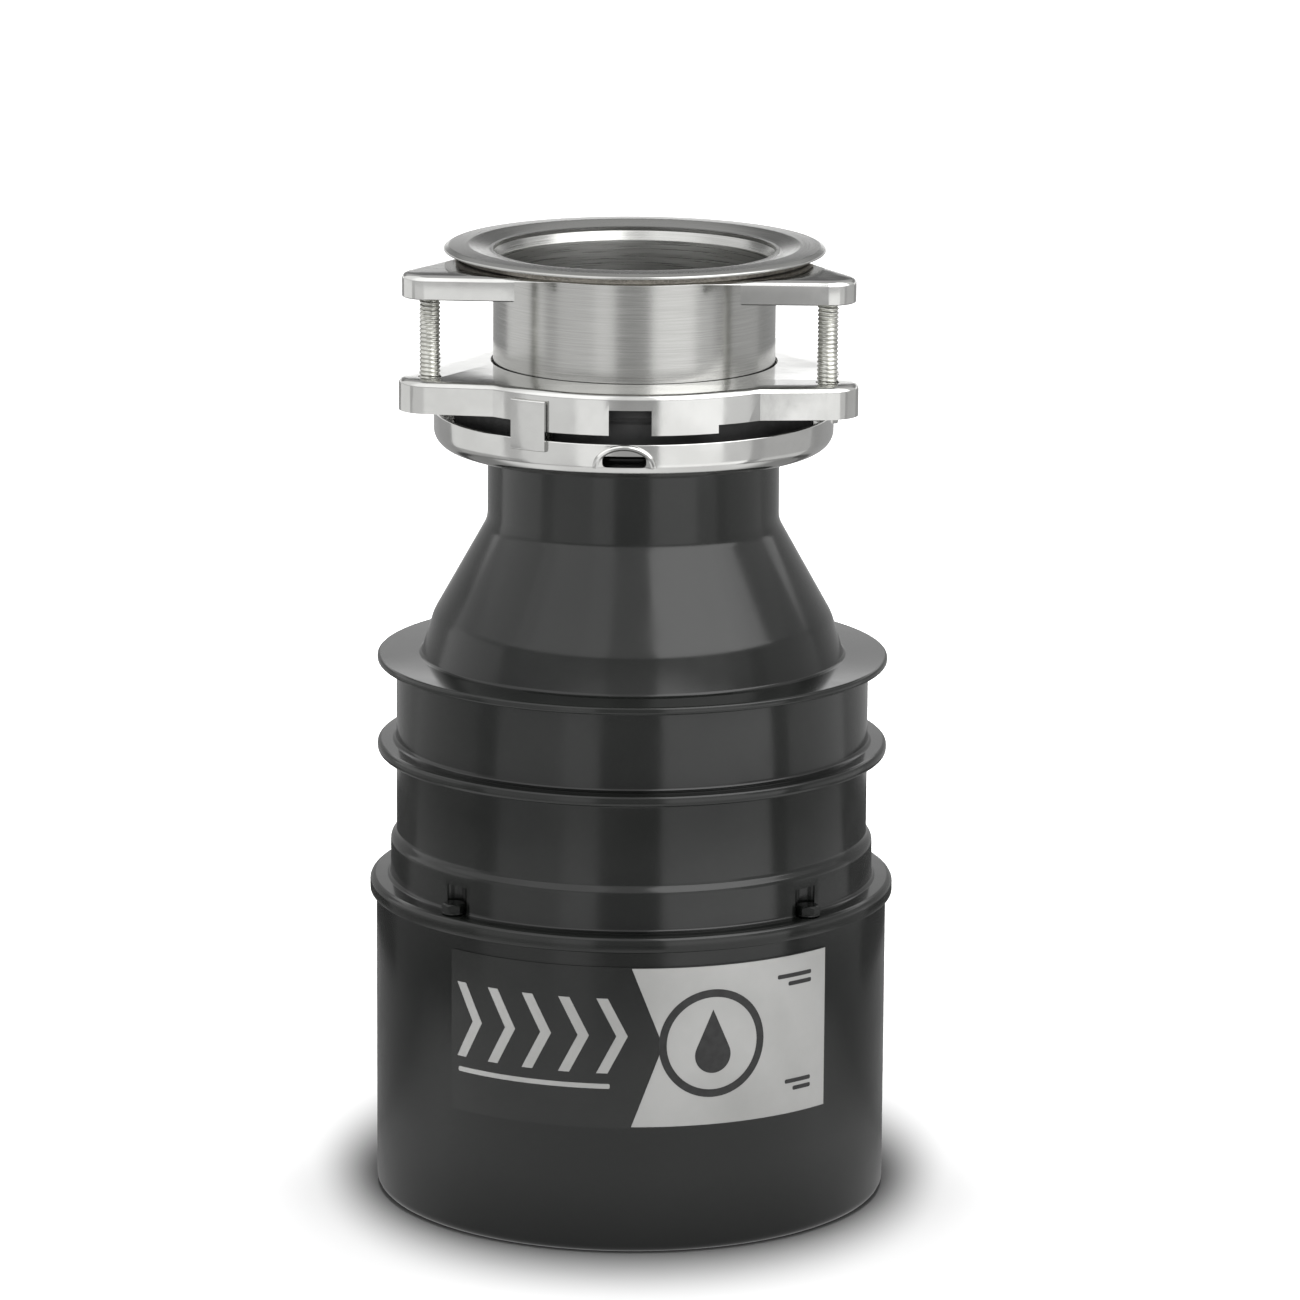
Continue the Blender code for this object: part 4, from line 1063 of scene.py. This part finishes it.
def emitter(name, strength):
    material = bpy.data.materials.new(name)
    material.use_nodes = True
    nodes = material.node_tree.nodes
    nodes.clear()
    glow = nodes.new("ShaderNodeEmission")
    glow.inputs["Strength"].default_value = strength
    output = nodes.new("ShaderNodeOutputMaterial")
    material.node_tree.links.new(glow.outputs[0], output.inputs[0])
    return material


def make_surround():
    """Bent panels that only reflections see, as the softboxes and flags of a studio."""
    for i, (start, end, *glows) in enumerate(SURROUND):
        for tier, (z0, z1, glow) in enumerate(zip(TIER_EDGES, TIER_EDGES[1:], glows)):
            bm = bmesh.new()
            azimuths = [start + (end - start) * k / PANEL_STEPS for k in range(PANEL_STEPS + 1)]
            low, high = ([bm.verts.new((*polar(SURROUND_R, azimuth), z)) for azimuth in azimuths]
                         for z in (z0, z1))
            for k in range(PANEL_STEPS):
                bm.faces.new([low[k], low[k + 1], high[k + 1], high[k]])
            mesh = bpy.data.meshes.new(f"panel_{tier}_{i}")
            bm.to_mesh(mesh)
            bm.free()
            panel = to_object(mesh.name, mesh)
            mesh.materials.append(emitter(mesh.name, glow))
            panel.visible_camera = False
            panel.visible_diffuse = False
            panel.visible_shadow = False
            panel.visible_transmission = False


def make_floor():
    """White, with a painted soft contact shadow round the foot; reflections see a glowing stand-in floor with
    painted shade.
    """
    mesh = bpy.data.meshes.new("floor")
    bm = bmesh.new()
    bmesh.ops.create_grid(bm, x_segments=1, y_segments=1, size=8)
    bm.to_mesh(mesh)
    bm.free()
    floor = to_object("floor", mesh)
    s = Shader("floor", grey(0.9), 0.8)
    s.set("Specular IOR Level", 0.0)
    contact = s.node("ShaderNodeMapping")
    contact.inputs["Location"].default_value = (0, -SHADOW_BACK / SHADOW_Y, 0)
    contact.inputs["Scale"].default_value = (1 / SHADOW_X, 1 / SHADOW_Y, 1)
    s.join(s.place, contact.inputs["Vector"])
    y = s.coordinates()["Y"]
    radius = s.radius()
    # the shadow's edge is softest in front and behind, where the overhead light adds to it
    softness = s.math("MULTIPLY_ADD", s.math("POWER", s.math("DIVIDE", y, radius), 2), FRONT_SOFTNESS, 1.0)
    distance = s.math("DIVIDE", s.math("SUBTRACT", s.length(contact.outputs[0]), SHADOW_EDGE), softness)
    # the floor's colour carries the painted contact shadow
    shadow = s.spread(distance, 0.05, 0.83, -0.165, 0.157)
    shadow.node.interpolation_type = "SMOOTHSTEP"
    s.join(shadow, s.surface.inputs["Base Color"])
    s.set("Emission Color", (1.0, 1.0, 1.0, 1.0))
    s.join(s.spread(radius, 0.0, 1.0, 0.14, 0.5), s.surface.inputs["Emission Strength"])

    # reflections see a glowing floor instead: painted darker behind the object, with painted shade near its
    # foot
    painted_reflected_floor = s.node("ShaderNodeEmission")
    front = s.spread(y, 0.95, 0.3, -0.05, 0.05)
    painted_foot_shade = s.spread(radius, 0.6, 1.0, 0.08, 0.135)
    s.join(s.math("MULTIPLY", front, painted_foot_shade), painted_reflected_floor.inputs["Strength"])
    path = s.node("ShaderNodeLightPath")
    mix = s.node("ShaderNodeMixShader")
    s.join(path.outputs["Is Glossy Ray"], mix.inputs[0])
    s.join(s.surface.outputs[0], mix.inputs[1])
    s.join(painted_reflected_floor.outputs[0], mix.inputs[2])
    s.join(mix.outputs[0], s.tree.nodes["Material Output"].inputs["Surface"])
    mesh.materials.append(s.material)


def make_lights():
    data = bpy.data.lights.new("overhead", "AREA")
    data.shape = "SQUARE"
    data.size = 0.7
    data.energy = 38.0
    overhead = bpy.data.objects.new("overhead", data)
    overhead.location = (0.0, 0.1, 2.0)
    overhead.visible_glossy = False
    bpy.context.scene.collection.objects.link(overhead)

    world = bpy.data.worlds.new("studio")
    bpy.context.scene.world = world
    world.use_nodes = True
    tree = world.node_tree
    tree.nodes.clear()
    around = tree.nodes.new("ShaderNodeBackground")
    around.inputs["Color"].default_value = (*grey(0.55), 1.0)
    backdrop = tree.nodes.new("ShaderNodeBackground")
    backdrop.inputs["Color"].default_value = (1.0, 1.0, 1.0, 1.0)
    path = tree.nodes.new("ShaderNodeLightPath")
    mix = tree.nodes.new("ShaderNodeMixShader")
    output = tree.nodes.new("ShaderNodeOutputWorld")
    tree.links.new(path.outputs["Is Camera Ray"], mix.inputs[0])
    tree.links.new(around.outputs[0], mix.inputs[1])
    tree.links.new(backdrop.outputs[0], mix.inputs[2])
    tree.links.new(mix.outputs[0], output.inputs[0])


def main():
    bpy.context.scene.view_settings.view_transform = "Standard"
    make_camera()
    make_lights()
    make_surround()
    make_floor()
    make_motor_can()
    make_hopper()
    make_seals()
    make_housing_bolts()
    make_sink_flange()
    make_backup_flange()
    make_upper_mounting_ring()
    make_mounting_screws()
    make_snap_ring()
    make_mounting_gasket()
    make_lower_mounting_ring()
    make_nameplate()
    make_grinding_chamber()
    make_motor()
    make_underside()
    finish_cad_nodes()


main()
